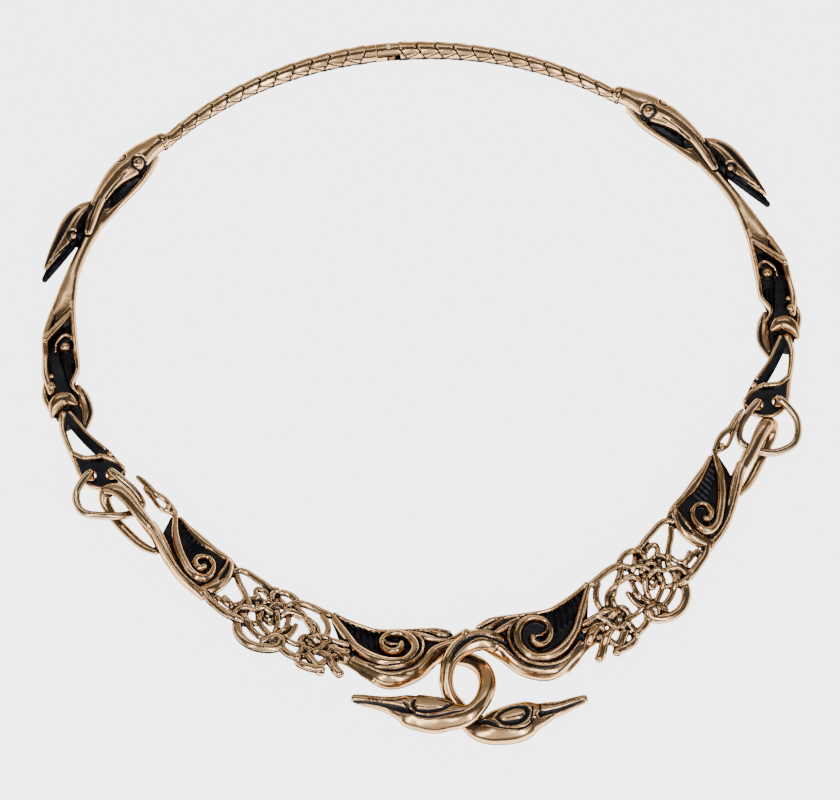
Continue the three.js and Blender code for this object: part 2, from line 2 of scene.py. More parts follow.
# # A bronze neck ring
#
# A cast bronze neck ring lies flat on a pale floor. Two rear arms meet in a small hinge at the back,
# and wire loops tie them to two carved front panels whose necks hook through each other at the front.
# Such carving could be sculpted by hand, or cut out of solids. Here every bar of it is a ball drawn out
# along its own line, because a bar then keeps a few plain numbers that can be moved until it sits right.
# The bars of one casting are fused into one skin, as they would be in wax, and the skin is darkened
# with patina where polish cannot reach and with painted shade on its lower sides.

# %% Setting up
import math
import bpy
import numpy as np
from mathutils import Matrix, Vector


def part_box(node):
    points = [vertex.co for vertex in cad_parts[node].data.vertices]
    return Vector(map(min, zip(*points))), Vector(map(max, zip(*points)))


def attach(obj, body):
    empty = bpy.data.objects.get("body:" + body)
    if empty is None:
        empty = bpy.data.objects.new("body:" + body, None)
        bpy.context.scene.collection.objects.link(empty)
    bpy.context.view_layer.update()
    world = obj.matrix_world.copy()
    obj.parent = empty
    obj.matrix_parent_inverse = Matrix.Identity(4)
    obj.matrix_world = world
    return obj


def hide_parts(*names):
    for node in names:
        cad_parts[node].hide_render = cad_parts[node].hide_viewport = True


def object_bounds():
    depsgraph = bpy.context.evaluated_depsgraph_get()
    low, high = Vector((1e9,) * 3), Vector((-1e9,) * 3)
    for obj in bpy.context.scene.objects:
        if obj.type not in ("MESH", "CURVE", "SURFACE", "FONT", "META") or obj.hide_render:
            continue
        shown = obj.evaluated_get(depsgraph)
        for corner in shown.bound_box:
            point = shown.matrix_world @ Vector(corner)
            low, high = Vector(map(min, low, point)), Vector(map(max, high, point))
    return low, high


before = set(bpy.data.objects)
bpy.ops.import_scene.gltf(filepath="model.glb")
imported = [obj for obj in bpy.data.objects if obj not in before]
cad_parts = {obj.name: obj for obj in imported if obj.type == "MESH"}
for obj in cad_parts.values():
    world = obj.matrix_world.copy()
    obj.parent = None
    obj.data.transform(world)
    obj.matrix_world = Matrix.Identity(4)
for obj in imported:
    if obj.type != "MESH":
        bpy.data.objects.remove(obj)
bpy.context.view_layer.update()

# %% [markdown]
# Nothing on the ring runs straight: the rods follow an oval, and the panels stand on edge round a wider
# circle. Every point could be given in plain x, y and z, but then each number would hold the bend of the
# ring as well. So the carving is measured along the ring, in millimetres and for the right half. A rear
# arm is measured along its own line from the middle of the back, outwards, and upwards. A front panel is
# measured along itself, down its face, and out of its face. Only the hooks of the clasp are measured in
# plan. The left half is the mirror image.

# %% Sizes of the oval and of the panels' circle
ARM_HALF_WIDTH = 70.0
ARM_HALF_DEPTH = 68.0
ARM_CENTRE_Y = 7.8
ARM_PER_RADIAN = 69.0
PANEL_RADIUS = 78.3
PANEL_CENTRE = (-10.3, 15.5)
PANEL_MIDDLE_ANGLE = math.radians(-51.3)
PIN_PLACE = (1.3, 75.8)
FLOOR_DROP = 0.05

pin_low, pin_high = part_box("hinge_pin")
SHIFT = np.array([
    500.0 * (pin_low[0] + pin_high[0]) - PIN_PLACE[0],
    500.0 * (pin_low[1] + pin_high[1]) - PIN_PLACE[1],
    -FLOOR_DROP,
])
print("shift from the drawing to the solids", SHIFT.round(3), "mm")

# %% From places on the carving to places in the plan
def plan_at(points):
    return points.copy()


def arm_at(points):
    angle = points[:, 0] / ARM_PER_RADIAN
    outward = np.stack([np.sin(angle) / ARM_HALF_WIDTH, np.cos(angle) / ARM_HALF_DEPTH], axis=1)
    outward *= (points[:, 1] / np.linalg.norm(outward, axis=1))[:, None]
    x = ARM_HALF_WIDTH * np.sin(angle) + outward[:, 0]
    y = ARM_CENTRE_Y + ARM_HALF_DEPTH * np.cos(angle) + outward[:, 1]
    return np.stack([x, y, points[:, 2]], axis=1)


def panel_frame(face_tilt, height, inset):
    tilt = math.radians(face_tilt)

    def at(points):
        angle = PANEL_MIDDLE_ANGLE + points[:, 0] / PANEL_RADIUS
        reach = PANEL_RADIUS - inset + points[:, 1] * math.sin(tilt) + points[:, 2] * math.cos(tilt)
        x = PANEL_CENTRE[0] + reach * np.cos(angle)
        y = PANEL_CENTRE[1] + reach * np.sin(angle)
        z = height - points[:, 1] * math.cos(tilt) + points[:, 2] * math.sin(tilt)
        return np.stack([x, y, z], axis=1)

    return at


right_at = panel_frame(78, 4.15, 0)
left_at = panel_frame(108, 4.2, 1.1)
print("the middle of the right panel is at", right_at(np.zeros((1, 3))).round(1)[0], "mm")

# %% [markdown]
# The carving of the real ring is made of tapering bars: ropes, rims, strands, beaks. A bar could be a
# curve with a bevel, but such a bevel has one shape of section all along and open ends. So a bar starts
# as a ball. Its rings of points are slid along a smooth line through a few stations, and each ring
# takes the half width and half thickness that the line has there. The first and last rings close into
# round ends. A section can be round, flat or keeled.

# %% A smooth line through a few stations
STEP = 0.35
LEAST_HALF = 0.08


def gap_root(one, other):
    return max(np.linalg.norm((other - one)[:3]), 1e-6) ** 0.5


def smooth_line(rows, step):
    rows = np.array(rows, float)
    line = np.vstack([2 * rows[0] - rows[1], rows, 2 * rows[-1] - rows[-2]])
    drawn = []
    for before, start, end, after in zip(line, line[1:], line[2:], line[3:]):
        first = gap_root(before, start)
        middle = gap_root(start, end)
        last = gap_root(end, after)
        leave = (start - before) / first - (end - before) / (first + middle) + (end - start) / middle
        arrive = (end - start) / middle - (after - start) / (middle + last) + (after - end) / last
        count = max(2, round(np.linalg.norm((end - start)[:3]) / step))
        t = np.linspace(0, 1, count, endpoint=False)[:, None]
        drawn.append(
            (2 * t**3 - 3 * t**2 + 1) * start + (t**3 - 2 * t**2 + t) * leave * middle
            + (3 * t**2 - 2 * t**3) * end + (t**3 - t**2) * arrive * middle
        )
    drawn.append(rows[-1:])
    line = np.vstack(drawn)
    line[:, 3:] = np.maximum(line[:, 3:], LEAST_HALF)
    return line


def length_of(rows):
    line = smooth_line(rows, STEP)[:, :2]
    return round(float(np.linalg.norm(np.diff(line, axis=0), axis=1).sum()), 1)


print("a smooth line round a corner of 10 by 10 mm is", length_of([[0, 0], [10, 0], [10, 10]]), "mm long")

# %% The section of a bar
FLAT_POWER = 0.6
KEEL_PINCH = 0.35


def section(kind, around):
    across, over = np.cos(around), np.sin(around)
    if kind == "flat":
        return np.sign(across) * np.abs(across) ** FLAT_POWER, np.sign(over) * np.abs(over) ** FLAT_POWER
    if kind == "keel":
        return across * (1 - KEEL_PINCH * np.maximum(over, 0) ** 2), over
    return across, over


print("half way up, a flat bar reaches", section("flat", math.pi / 6)[0].round(2), "of its half width")

# %% [markdown]
# Every point of the skin also carries a number called patina: 0 where the bronze is polished and
# 1 where it is dark, from patina in its hollows and from painted shade on its lower sides. It could be
# painted by hand later, but a bar that lies in a recess is known to be dark when it is made, so the number
# is given then and stays with the points.

# %% Reading and changing the points of a piece
def choose(*pieces):
    bpy.ops.object.select_all(action="DESELECT")
    for piece in pieces:
        piece.select_set(True)
    if pieces:
        bpy.context.view_layer.objects.active = pieces[0]


def new_ball(segments, rings):
    choose()
    bpy.ops.mesh.primitive_uv_sphere_add(segments=segments, ring_count=rings)
    return bpy.context.object


def points_of(piece):
    flat = np.empty(3 * len(piece.data.vertices))
    piece.data.vertices.foreach_get("co", flat)
    return flat.reshape(-1, 3)


def normals_of(piece):
    flat = np.empty(3 * len(piece.data.vertices))
    piece.data.vertices.foreach_get("normal", flat)
    return flat.reshape(-1, 3)


def patina_of(piece):
    values = np.empty(len(piece.data.vertices))
    piece.data.attributes["patina"].data.foreach_get("value", values)
    return values


def set_points(piece, points):
    piece.data.vertices.foreach_set("co", points.astype(np.float32).ravel())
    piece.data.update()


def set_patina(piece, values):
    layer = piece.data.attributes.get("patina") or piece.data.attributes.new("patina", "FLOAT", "POINT")
    layer.data.foreach_set("value", np.broadcast_to(values, len(piece.data.vertices)).astype(np.float32))


print("a ball is ready to be drawn out: its points, normals and patina can be read and changed")

# %% Drawing out a bar
CAP_RINGS = 3
CAP_REACH = 0.8
SHADE_BELOW = 0.45
SHADE_OVER = 0.6


def rings_of(ball, rings):
    points = points_of(ball)
    ring = np.rint(np.arccos(np.clip(points[:, 2], -1, 1)) / math.pi * rings).astype(int)
    return ring, np.arctan2(points[:, 1], points[:, 0])


def ring_plan(line):
    caps = np.sin(np.arange(CAP_RINGS) / CAP_RINGS * math.pi / 2)
    back = np.sqrt(1 - caps**2)
    reach = CAP_REACH * np.minimum(line[:, 3], line[:, 4])
    end = np.zeros(CAP_RINGS, int)
    station = np.concatenate([end, np.arange(len(line)), end + len(line) - 1])
    slide = np.concatenate([-back * reach[0], np.zeros(len(line)), back[::-1] * reach[-1]])
    width = np.concatenate([caps, np.ones(len(line)), caps[::-1]])
    return station, slide, width


def bar(at, stations, kind="round", dark=0.0, sides=12, up=(0, 0, 1), side_dark=0.0):
    line = smooth_line(stations, STEP)
    station, slide, width = ring_plan(line)
    rings = len(station) - 1
    piece = new_ball(sides, rings)
    ring, around = rings_of(piece, rings)
    tangent = np.gradient(line[:, :3], axis=0)
    tangent /= np.linalg.norm(tangent, axis=1)[:, None]
    side = np.cross(tangent, np.array(up, float))
    side /= np.linalg.norm(side, axis=1)[:, None]
    top = np.cross(side, tangent)
    across, over = section(kind, around)
    place = station[ring]
    points = line[place, :3] + tangent[place] * slide[ring][:, None]
    points = points + side[place] * (across * line[place, 3] * width[ring])[:, None]
    points = points + top[place] * (over * line[place, 4] * width[ring])[:, None]
    set_points(piece, at(points))
    # painted shade: the lower flanks and underside of the bar are darkened by this amount
    low = side_dark * np.clip((SHADE_BELOW - np.sin(around)) / SHADE_OVER, 0, 1)
    set_patina(piece, np.maximum(low, dark))
    return piece


print("a bar has a ring every", STEP, "mm and", CAP_RINGS, "more at each end")

# %% A small round boss
BOSS_SIDES = 14
BOSS_RINGS = 9


def dome(at, place, sizes):
    piece = new_ball(BOSS_SIDES, BOSS_RINGS)
    set_points(piece, at(points_of(piece) * np.array(sizes) + np.array(place)))
    set_patina(piece, 0.0)
    return piece


print("a boss has", BOSS_SIDES * BOSS_RINGS, "faces")

# %% [markdown]
# In the wax, every bar melts into its neighbours. Boolean unions could do that, but with a hundred
# crossing bars they are slow and leave hard seams. Joining the bars and remeshing them with small
# voxels is quick and leaves one closed skin, which keeps the patina numbers. A light smoothing
# rounds it as a casting is rounded. The dark patina of the recesses is then worked out from the skin
# itself: a point that lies below the average of its neighbourhood is in a hollow. A face that looks down
# is given painted shade.

# %% How dark the hollows are, and how strong the painted shade on faces that look down is
UNDER_SHADE = 0.8
UNDER_FROM = 0.3
UNDER_OVER = 0.5
NEAR_ROUNDS = 12
NEAR_DEPTH = 0.05
NEAR_SHARE = 0.62
WIDE_ROUNDS = 70
WIDE_DEPTH = 0.25
WIDE_SHARE = 0.4


def relaxed(values, edges, rounds):
    count = len(values)
    one, other = edges[:, 0], edges[:, 1]
    share = np.maximum(np.bincount(one, minlength=count) + np.bincount(other, minlength=count), 1)
    for _ in range(rounds):
        columns = []
        for column in values.T:
            total = np.bincount(one, column[other], count) + np.bincount(other, column[one], count)
            columns.append(0.5 * column + 0.5 * total / share)
        values = np.stack(columns, axis=1)
    return values


def age_and_shade(piece):
    points = points_of(piece)
    normals = normals_of(piece)
    flat = np.empty(2 * len(piece.data.edges), int)
    piece.data.edges.foreach_get("vertices", flat)
    edges = flat.reshape(-1, 2)
    near = ((relaxed(points, edges, NEAR_ROUNDS) - points) * normals).sum(axis=1)
    wide = ((relaxed(points, edges, WIDE_ROUNDS) - points) * normals).sum(axis=1)
    given = relaxed(patina_of(piece)[:, None], edges, 1)[:, 0]
    hollow = np.clip(near / NEAR_DEPTH, -1, 2) * NEAR_SHARE + np.clip(wide / WIDE_DEPTH, -1, 2) * WIDE_SHARE
    # painted shade: a face that looks down is darkened as if in shade
    under = UNDER_SHADE * np.clip((UNDER_FROM - normals[:, 2]) / UNDER_OVER, 0, 1)
    set_patina(piece, np.clip(np.maximum(np.maximum(given, hollow), under), 0, 1))


print("a narrow hollow is dark from", NEAR_DEPTH, "mm on, a wide one from", WIDE_DEPTH, "mm on")

# %% Fusing the bars of one casting
SOFTNESS = 0.5


def fuse(pieces, name, voxel):
    print(name, "is fused from", len(pieces), "bars and bosses")
    choose(*pieces)
    bpy.ops.object.join()
    whole = bpy.context.object
    whole.name = name
    whole.data.use_remesh_preserve_attributes = True
    whole.data.remesh_voxel_size = voxel
    bpy.ops.object.voxel_remesh()
    soften = whole.modifiers.new("soften", "SMOOTH")
    soften.factor = SOFTNESS
    soften.iterations = 1
    bpy.ops.object.modifier_apply(modifier=soften.name)
    age_and_shade(whole)
    print(name, "has", len(whole.data.polygons), "faces")
    return whole


# %% [markdown]
# The finest lines of the ring, round the eyes and along the beaks, look as if they were cut with a
# graver into the cold casting. Thin solids could be subtracted for them. Here the points near each line
# are pushed down instead, deepest in the middle of the line, because that takes a line on any curved
# face and can blacken it in the same step. The half width of a cut is given at each of its places.

# %% Cutting lines into a skin
CUT_STEP = 0.15
CUT_SEARCH = 1.5
CUT_FACING = 0.1
CUT_LEAST_DEPTH = 0.12
CUT_DEPTH_PER_WIDTH = 0.55
CIRCLE_POINTS = 13


def circle(x, y, radius, half):
    turns = np.linspace(0, 2 * math.pi, CIRCLE_POINTS)
    return [[x + radius * math.cos(turn), y + radius * math.sin(turn), half] for turn in turns]


def laid(at, cuts, height):
    placed = []
    for cut in cuts:
        rows = np.array(cut)
        plan = at(np.column_stack([rows[:, :2], np.full(len(rows), height)]))
        placed.append(np.column_stack([plan[:, :2], rows[:, 2]]).tolist())
    return placed


def engrave(piece, cuts):
    points = points_of(piece)
    normals = normals_of(piece)
    patina = patina_of(piece)
    for cut in cuts:
        line = smooth_line([[x, y, 0, half] for x, y, half in cut], CUT_STEP)
        low = line[:, :2].min(axis=0) - CUT_SEARCH
        high = line[:, :2].max(axis=0) + CUT_SEARCH
        inside = np.all((points[:, :2] > low) & (points[:, :2] < high), axis=1)
        chosen = np.flatnonzero(inside & (normals[:, 2] > CUT_FACING))
        gaps = np.linalg.norm(points[chosen, None, :2] - line[None, :, :2], axis=2)
        nearest = gaps.argmin(axis=1)
        half = line[nearest, 3]
        depth = np.exp(-(gaps[np.arange(len(chosen)), nearest] / half) ** 4)
        sink = depth * (CUT_LEAST_DEPTH + CUT_DEPTH_PER_WIDTH * half)
        points[chosen] -= normals[chosen] * sink[:, None]
        patina[chosen] = np.maximum(patina[chosen], depth)
    set_points(piece, points)
    set_patina(piece, patina)
    print(len(cuts), "lines are cut into", piece.name)


# %% [markdown]
# Beyond its rod, a rear arm begins with a beast's head: a long skull that narrows into a muzzle, a jaw
# with a dark mouth above it, and two round eyes. It could be pulled out of one lump by hand. Three bars
# and two bosses were chosen, since they give the same rounded masses and can be corrected one by one.
# The numbers of a station are its distance along the arm, its distance outwards, its height, its half
# width and its half thickness.

# %% The head at the end of the rod
SKULL = [
    [48.7, 0.6, 2.2, 1.7, 1.7], [51, 0.9, 2.5, 1.9, 1.8], [54, 1.0, 2.8, 2.5, 2.2],
    [57, 1.2, 2.9, 2.8, 2.3], [61, 1.9, 2.9, 2.2, 2.0], [65, 2.0, 3.0, 1.6, 1.8],
    [69, 1.5, 3.3, 1.3, 1.4], [72, 0.9, 3.5, 1.15, 1.1], [74.4, 0.4, 3.2, 0.8, 0.8],
]
JAW = [
    [52.5, -0.6, 1.8, 1.2, 1.3], [56, -1.9, 1.8, 0.9, 1.2], [59.5, -2.4, 1.7, 0.55, 1.0],
    [64, -1.9, 1.6, 0.5, 0.9], [68, -1.1, 1.6, 0.8, 0.9], [71, -0.5, 1.6, 0.9, 0.9],
]
MOUTH_FLOOR = [[56, -1.0, 1.4, 1.1, 0.6], [63, -0.9, 1.4, 1.4, 0.6], [70, 0.2, 1.3, 1.1, 0.6]]
NEAR_EYE = (56.5, -0.5)
FAR_EYE = (57.6, 3.2)
HEAD_CUTS = [
    circle(*NEAR_EYE, 1.3, 0.3),
    circle(*FAR_EYE, 0.9, 0.22),
    [[57.6, -2.0, 0.2], [59.6, -1.6, 0.55], [62.3, -1.1, 0.8], [65, -0.7, 0.65], [67.6, -0.1, 0.25]],
    [[67.2, 1.5, 0.15], [70, 1.1, 0.25], [72.6, 0.7, 0.25], [74.8, 0.4, 0.2]],
    [[49.6, -1.1, 0.15], [49.2, 0.8, 0.15], [48.7, 2.5, 0.15]],
    [[59.5, 0.2, 0.12], [63, 0.6, 0.15], [66.5, 0.6, 0.12]],
]


def beast_head():
    return [
        bar(arm_at, SKULL, sides=20),
        bar(arm_at, JAW),
        bar(arm_at, MOUTH_FLOOR, dark=1.0),
        dome(arm_at, (*NEAR_EYE, 4.1), (0.9, 0.9, 0.85)),
        dome(arm_at, (*FAR_EYE, 3.9), (0.55, 0.55, 0.55)),
    ]


print("from nape to muzzle the head is", length_of(SKULL), "mm long")

# %% [markdown]
# A smooth strap comes out of the beast's mouth, and a leaf crest stands up beside it. A flat sheet bent
# to shape could serve for the leaf, but it is as thick as the strap and melts into it. So it is a wide
# bar too, with a dark bar below it for the shadow between the two.

# %% The strap and its leaf crest
STRAP = [
    [66, 0.2, 1.7, 1.2, 1.0], [72, 0.1, 1.7, 1.4, 1.1], [78, 0.1, 1.7, 1.2, 1.1], [84, 0.2, 1.8, 1.4, 1.1],
    [89, 0.1, 2.0, 2.0, 1.2], [93, 0.2, 1.9, 2.5, 1.2], [94.9, 0.6, 1.6, 2.4, 1.0],
]
LEAF = [
    [68, 2.2, 3.0, 0.8, 0.8], [70.5, 3.3, 3.6, 1.6, 0.85], [73.5, 4.1, 3.8, 1.9, 0.9],
    [77.5, 4.3, 3.7, 1.7, 0.9], [81, 4.8, 3.4, 1.15, 0.7], [84.3, 5.5, 3.0, 0.35, 0.35],
]
LEAF_SHADOW = [
    [70, 1.6, 1.7, 1.2, 0.9], [76, 3.0, 1.7, 1.7, 1.0], [82, 4.3, 1.5, 1.2, 0.7],
    [85.8, 5.3, 1.4, 0.6, 0.6],
]
LEAF_BOSS = (76.7, 2.4)
LEAF_CUTS = [
    circle(*LEAF_BOSS, 1.05, 0.25),
    [[70.8, 3.9, 0.2], [73, 4.5, 0.5], [77, 4.75, 0.62], [80.6, 5.1, 0.45], [83.8, 5.6, 0.15]],
    [[69.4, 1.9, 0.4], [72, 2.3, 0.5], [74.6, 2.5, 0.3]],
    [[78.2, 2.6, 0.12], [80.6, 3.6, 0.14], [83, 4.8, 0.1]],
]


def strap_and_leaf():
    return [
        bar(arm_at, STRAP, sides=20),
        bar(arm_at, LEAF, sides=16),
        bar(arm_at, LEAF_SHADOW, dark=1.0),
        dome(arm_at, (*LEAF_BOSS, 4.2), (0.6, 0.6, 0.7)),
    ]


print("the strap is", length_of(STRAP), "mm long and the leaf", length_of(LEAF), "mm")

# %% [markdown]
# Behind the strap lies a second beast, hollowed out so that only its rims are bright. The hollow could
# be cut from a full body. It is quicker to lay a flat dark floor low down and to run the two rims, the
# brow, the hook round the ring eye and the lobes of the throat above it as bars of their own.

# %% The hollow and its rims
HOLLOW_FLOOR = [
    [93, 0.0, 1.2, 2.3, 0.7], [100, -0.4, 1.1, 2.9, 0.7], [107, -0.5, 1.1, 2.7, 0.7],
    [114, -0.2, 1.3, 2.0, 0.9],
]
BROW = [[92.4, -1.5, 2.5, 0.6, 0.7], [95.2, -0.2, 3.1, 0.65, 0.7], [99.6, 2.6, 3.6, 0.7, 0.8]]
INNER_RIM = [
    [90, -1.3, 2.2, 0.6, 0.7], [96, -2.5, 2.4, 0.65, 1.0], [102, -3.3, 2.6, 0.65, 1.1],
    [106, -3.6, 2.5, 0.5, 0.9], [107.8, -2.9, 2.6, 0.45, 0.9], [109.2, -2.3, 2.5, 0.45, 0.9],
    [110.4, -2.7, 2.2, 0.4, 0.8], [111.2, -3.4, 2.0, 0.45, 0.8],
]
OUTER_RIM = [
    [93, 1.9, 2.2, 0.8, 0.8], [99, 2.6, 2.8, 0.75, 1.1], [103, 2.4, 2.6, 0.7, 1.1],
    [107, 2.3, 2.7, 0.8, 1.1], [110.5, 1.6, 2.8, 0.7, 0.9],
]
DARK_FACE = [
    [94.5, -0.9, 1.3, 0.7, 0.6], [98, -1.4, 1.7, 1.2, 0.9], [101, -1.5, 1.9, 1.5, 1.0],
    [105.4, -1.9, 1.6, 1.0, 0.9], [108.6, -2.0, 1.5, 0.6, 0.7],
]
EYE_HOOK = [
    [101.6, -3.0, 2.2, 0.35, 0.5], [99.4, -2.9, 2.7, 0.4, 0.55], [98.1, -1.2, 3.0, 0.4, 0.55],
    [99.6, 0.3, 2.7, 0.35, 0.5], [101.4, 0.6, 2.2, 0.3, 0.4],
]
RING_EYE = (100.7, -1.3)
print("the inner rim is", length_of(INNER_RIM), "mm long and the outer rim", length_of(OUTER_RIM), "mm")

# %% The throat of the hollowed beast
COLLAR = [
    [113.4, -2.5, 2.2, 0.8, 0.7], [112.4, -0.6, 3.1, 1.7, 1.1], [113.4, 1.2, 2.8, 1.4, 1.0],
    [115.2, 2.2, 2.0, 0.5, 0.7],
]
COLLAR_SHADOW = [[115.1, -1.6, 1.8, 0.6, 0.6], [115.3, -0.4, 2.3, 0.9, 0.7], [116.0, 1.1, 2.0, 0.6, 0.6]]
INNER_LOBE = [
    [109.3, -3.4, 1.5, 0.7, 0.7], [112, -4.2, 1.8, 1.2, 1.0], [116, -4.4, 1.8, 1.25, 1.0],
    [119, -3.3, 1.7, 0.8, 0.8], [120.4, -2.6, 1.6, 0.4, 0.5],
]
OUTER_LOBE = [[107.5, 2.6, 1.4, 0.5, 0.8], [110.8, 2.9, 1.4, 0.7, 0.9], [114, 2.2, 1.4, 0.4, 0.6]]
NAPE = [[111, -0.2, 1.6, 2.0, 0.9], [118, -0.1, 2.0, 1.2, 1.0]]
LOBE_SHADOW = [
    [111, -2.4, 1.5, 0.9, 0.6], [114, -3.0, 1.5, 1.3, 0.6], [117.4, -2.8, 1.5, 1.0, 0.6],
    [119.6, -2.7, 1.5, 0.4, 0.5],
]
INNER_CUTS = [
    circle(*RING_EYE, 1.4, 0.25),
    [[110.2, -4.0, 0.15], [113, -4.9, 0.3], [116.4, -4.9, 0.35], [119.3, -3.4, 0.15]],
    [[103.8, -1.9, 0.12], [106, -2.1, 0.15], [108.4, -2.2, 0.12]],
]


def inner_beast():
    return [
        bar(arm_at, HOLLOW_FLOOR, "flat", dark=1.0),
        bar(arm_at, BROW),
        bar(arm_at, INNER_RIM, side_dark=0.4),
        bar(arm_at, OUTER_RIM, side_dark=0.4),
        dome(arm_at, (109.4, 1.4, 3.3), (0.9, 0.8, 0.8)),
        dome(arm_at, (107.2, 1.3, 3.0), (0.6, 0.6, 0.7)),
        bar(arm_at, DARK_FACE, dark=1.0, sides=16),
        bar(arm_at, EYE_HOOK, side_dark=0.6),
        dome(arm_at, (*RING_EYE, 2.7), (1.15, 1.15, 1.1)),
        bar(arm_at, COLLAR, sides=16),
        bar(arm_at, COLLAR_SHADOW, dark=1.0),
        bar(arm_at, INNER_LOBE, sides=16),
        bar(arm_at, OUTER_LOBE),
        bar(arm_at, NAPE, dark=0.8),
        bar(arm_at, LOBE_SHADOW, dark=1.0),
    ]


print("the collar is", length_of(COLLAR), "mm wide")

# %% [markdown]
# The arm ends in a fork that holds a flat plate, and the wire goes through the two holes of the plate.
# A bar can't have a flat top and a sharp edge, so the plate is a circle with its points moved to the
# outline and extruded in edit mode. The prongs of the fork and the small creature lying across it are
# bars again. The holes are drilled last, when everything is one skin, so that they stay crisp.

# %% The plate
PLATE_BOTTOM = 2.2
PLATE_TOP = 3.3
PLATE_DARK = 0.75
OUTLINE_STEP = 0.6
OUTER_HOLE = (130.3, -1.0)
INNER_HOLE = (131.9, -4.7)
HOLE_RADIUS = 1.1
PLATE_OUTLINE = [
    [125.5, 0.6], [128.6, 0.7], [131.6, 0.4], [133.4, -1.8], [134.3, -4.4], [133.6, -6.4], [132.2, -7.4],
    [130.4, -7.0], [129, -6.2], [127.2, -4.2], [126.3, -1.8], [125.6, -0.4],
]


def plate():
    rows = [[x, y, 0, 0, 0] for x, y in PLATE_OUTLINE + PLATE_OUTLINE[:1]]
    corners = smooth_line(rows, OUTLINE_STEP)[:-1, :2]
    choose()
    bpy.ops.mesh.primitive_circle_add(vertices=len(corners), fill_type="NGON")
    piece = bpy.context.object
    set_points(piece, np.column_stack([corners, np.full(len(corners), PLATE_BOTTOM)]))
    bpy.ops.object.mode_set(mode="EDIT")
    bpy.ops.mesh.select_all(action="SELECT")
    bpy.ops.mesh.extrude_region_move(TRANSFORM_OT_translate={"value": (0, 0, PLATE_TOP - PLATE_BOTTOM)})
    bpy.ops.object.mode_set(mode="OBJECT")
    set_points(piece, arm_at(points_of(piece)))
    set_patina(piece, PLATE_DARK)
    return piece


print("the outline of the plate is", length_of(PLATE_OUTLINE + PLATE_OUTLINE[:1]), "mm long")

# %% The fork round the plate
OUTER_PRONG = [
    [115.5, 0.1, 2.3, 1.0, 1.0], [119, 0.8, 2.7, 0.65, 0.8], [125, 0.5, 2.7, 0.55, 0.8],
    [131, 0.4, 2.9, 0.4, 0.6], [133.6, -1.6, 2.9, 0.4, 0.55], [134.2, -4.4, 2.9, 0.4, 0.55],
    [132.4, -7.2, 2.9, 0.4, 0.55],
]
FORK_FLOOR = [
    [115.8, -0.5, 2.2, 0.9, 1.0], [120, -2.2, 2.4, 1.0, 0.7], [126, -4.9, 2.5, 1.3, 0.6],
    [130.5, -6.5, 2.6, 0.9, 0.7],
]
INNER_PRONG = [
    [115.4, -1.2, 2.3, 0.5, 0.9], [118, -2.3, 2.6, 0.45, 0.8], [121, -3.4, 2.9, 0.35, 0.6],
    [125.6, -5.6, 2.9, 0.3, 0.5],
]
CREATURE = [
    [124.4, 0.4, 3.2, 0.5, 0.7], [126.4, -1.4, 3.4, 0.5, 0.6], [127.0, -2.9, 3.5, 0.6, 0.6],
    [127.6, -4.6, 3.5, 0.55, 0.6], [129.4, -6.3, 3.3, 0.5, 0.6], [131.6, -7.3, 3.1, 0.4, 0.6],
]


def fork():
    return [
        bar(arm_at, OUTER_PRONG, "keel"),
        bar(arm_at, FORK_FLOOR, "flat", dark=0.7),
        bar(arm_at, INNER_PRONG),
        bar(arm_at, CREATURE),
        dome(arm_at, (127.4, -3.9, 3.9), (0.65, 0.65, 0.5)),
        dome(arm_at, (127.5, -6.0, 3.5), (0.7, 0.55, 0.6)),
        plate(),
    ]


print("the outer prong is", length_of(OUTER_PRONG), "mm long")

# %% Fusing, cutting and drilling the arm
ARM_VOXEL = 0.2
CUT_HEIGHT = 2.0
HOLE_DRILL = (0.0, 6.0)


def upright(place, radius, bottom, top, sides=48):
    choose()
    bpy.ops.mesh.primitive_cylinder_add(vertices=sides, radius=radius, depth=top - bottom)
    piece = bpy.context.object
    set_points(piece, points_of(piece) + np.array([place[0], place[1], (bottom + top) / 2]))
    return piece


def combine(piece, tool, how):
    change = piece.modifiers.new("change", "BOOLEAN")
    change.operation = how
    change.object = tool
    choose(piece)
    bpy.ops.object.modifier_apply(modifier=change.name)
    bpy.data.objects.remove(tool)


right_arm = fuse(beast_head() + strap_and_leaf() + inner_beast() + fork(), "right_arm", ARM_VOXEL)
engrave(right_arm, laid(arm_at, HEAD_CUTS + LEAF_CUTS + INNER_CUTS, CUT_HEIGHT))
for along, outward in (OUTER_HOLE, INNER_HOLE):
    hole = arm_at(np.array([[along, outward, PLATE_TOP]]))[0]
    combine(right_arm, upright(hole, HOLE_RADIUS, *HOLE_DRILL, sides=32), "DIFFERENCE")
    print("a hole is drilled at", hole[:2].round(1), "mm")

# %% [markdown]
# The rod is covered with pointed scales whose tips look back at the hinge. They lie in four columns,
# and each column starts half a row later than the next. A scale is highest at its edge, and a thin dark
# line lies just outside that edge. Dozens of small scales could be laid on a bare rod one by one. Since
# the pattern is so regular, the rod is one long ball instead, and the pattern is a rule for how far each
# of its points stands out from the middle line.

# %% The rule of the scales
SCALE_COLUMNS = 4
SCALE_PITCH = 3.7
SCALE_START = 3.2
TIP_SLOPES = (1.9, 5.5)
TIP_WIDTH = 1.2
FAR = 9.0


def scale_column(column, along, turn):
    off = np.abs(turn - column)
    off = np.minimum(off, SCALE_COLUMNS - off)
    shift = (column % 2) * 0.5 * SCALE_PITCH
    behind = along - SCALE_START - TIP_SLOPES[column % 2] * np.minimum(off, TIP_WIDTH) - shift
    return behind, np.floor(behind / SCALE_PITCH), shift, off <= 1.0


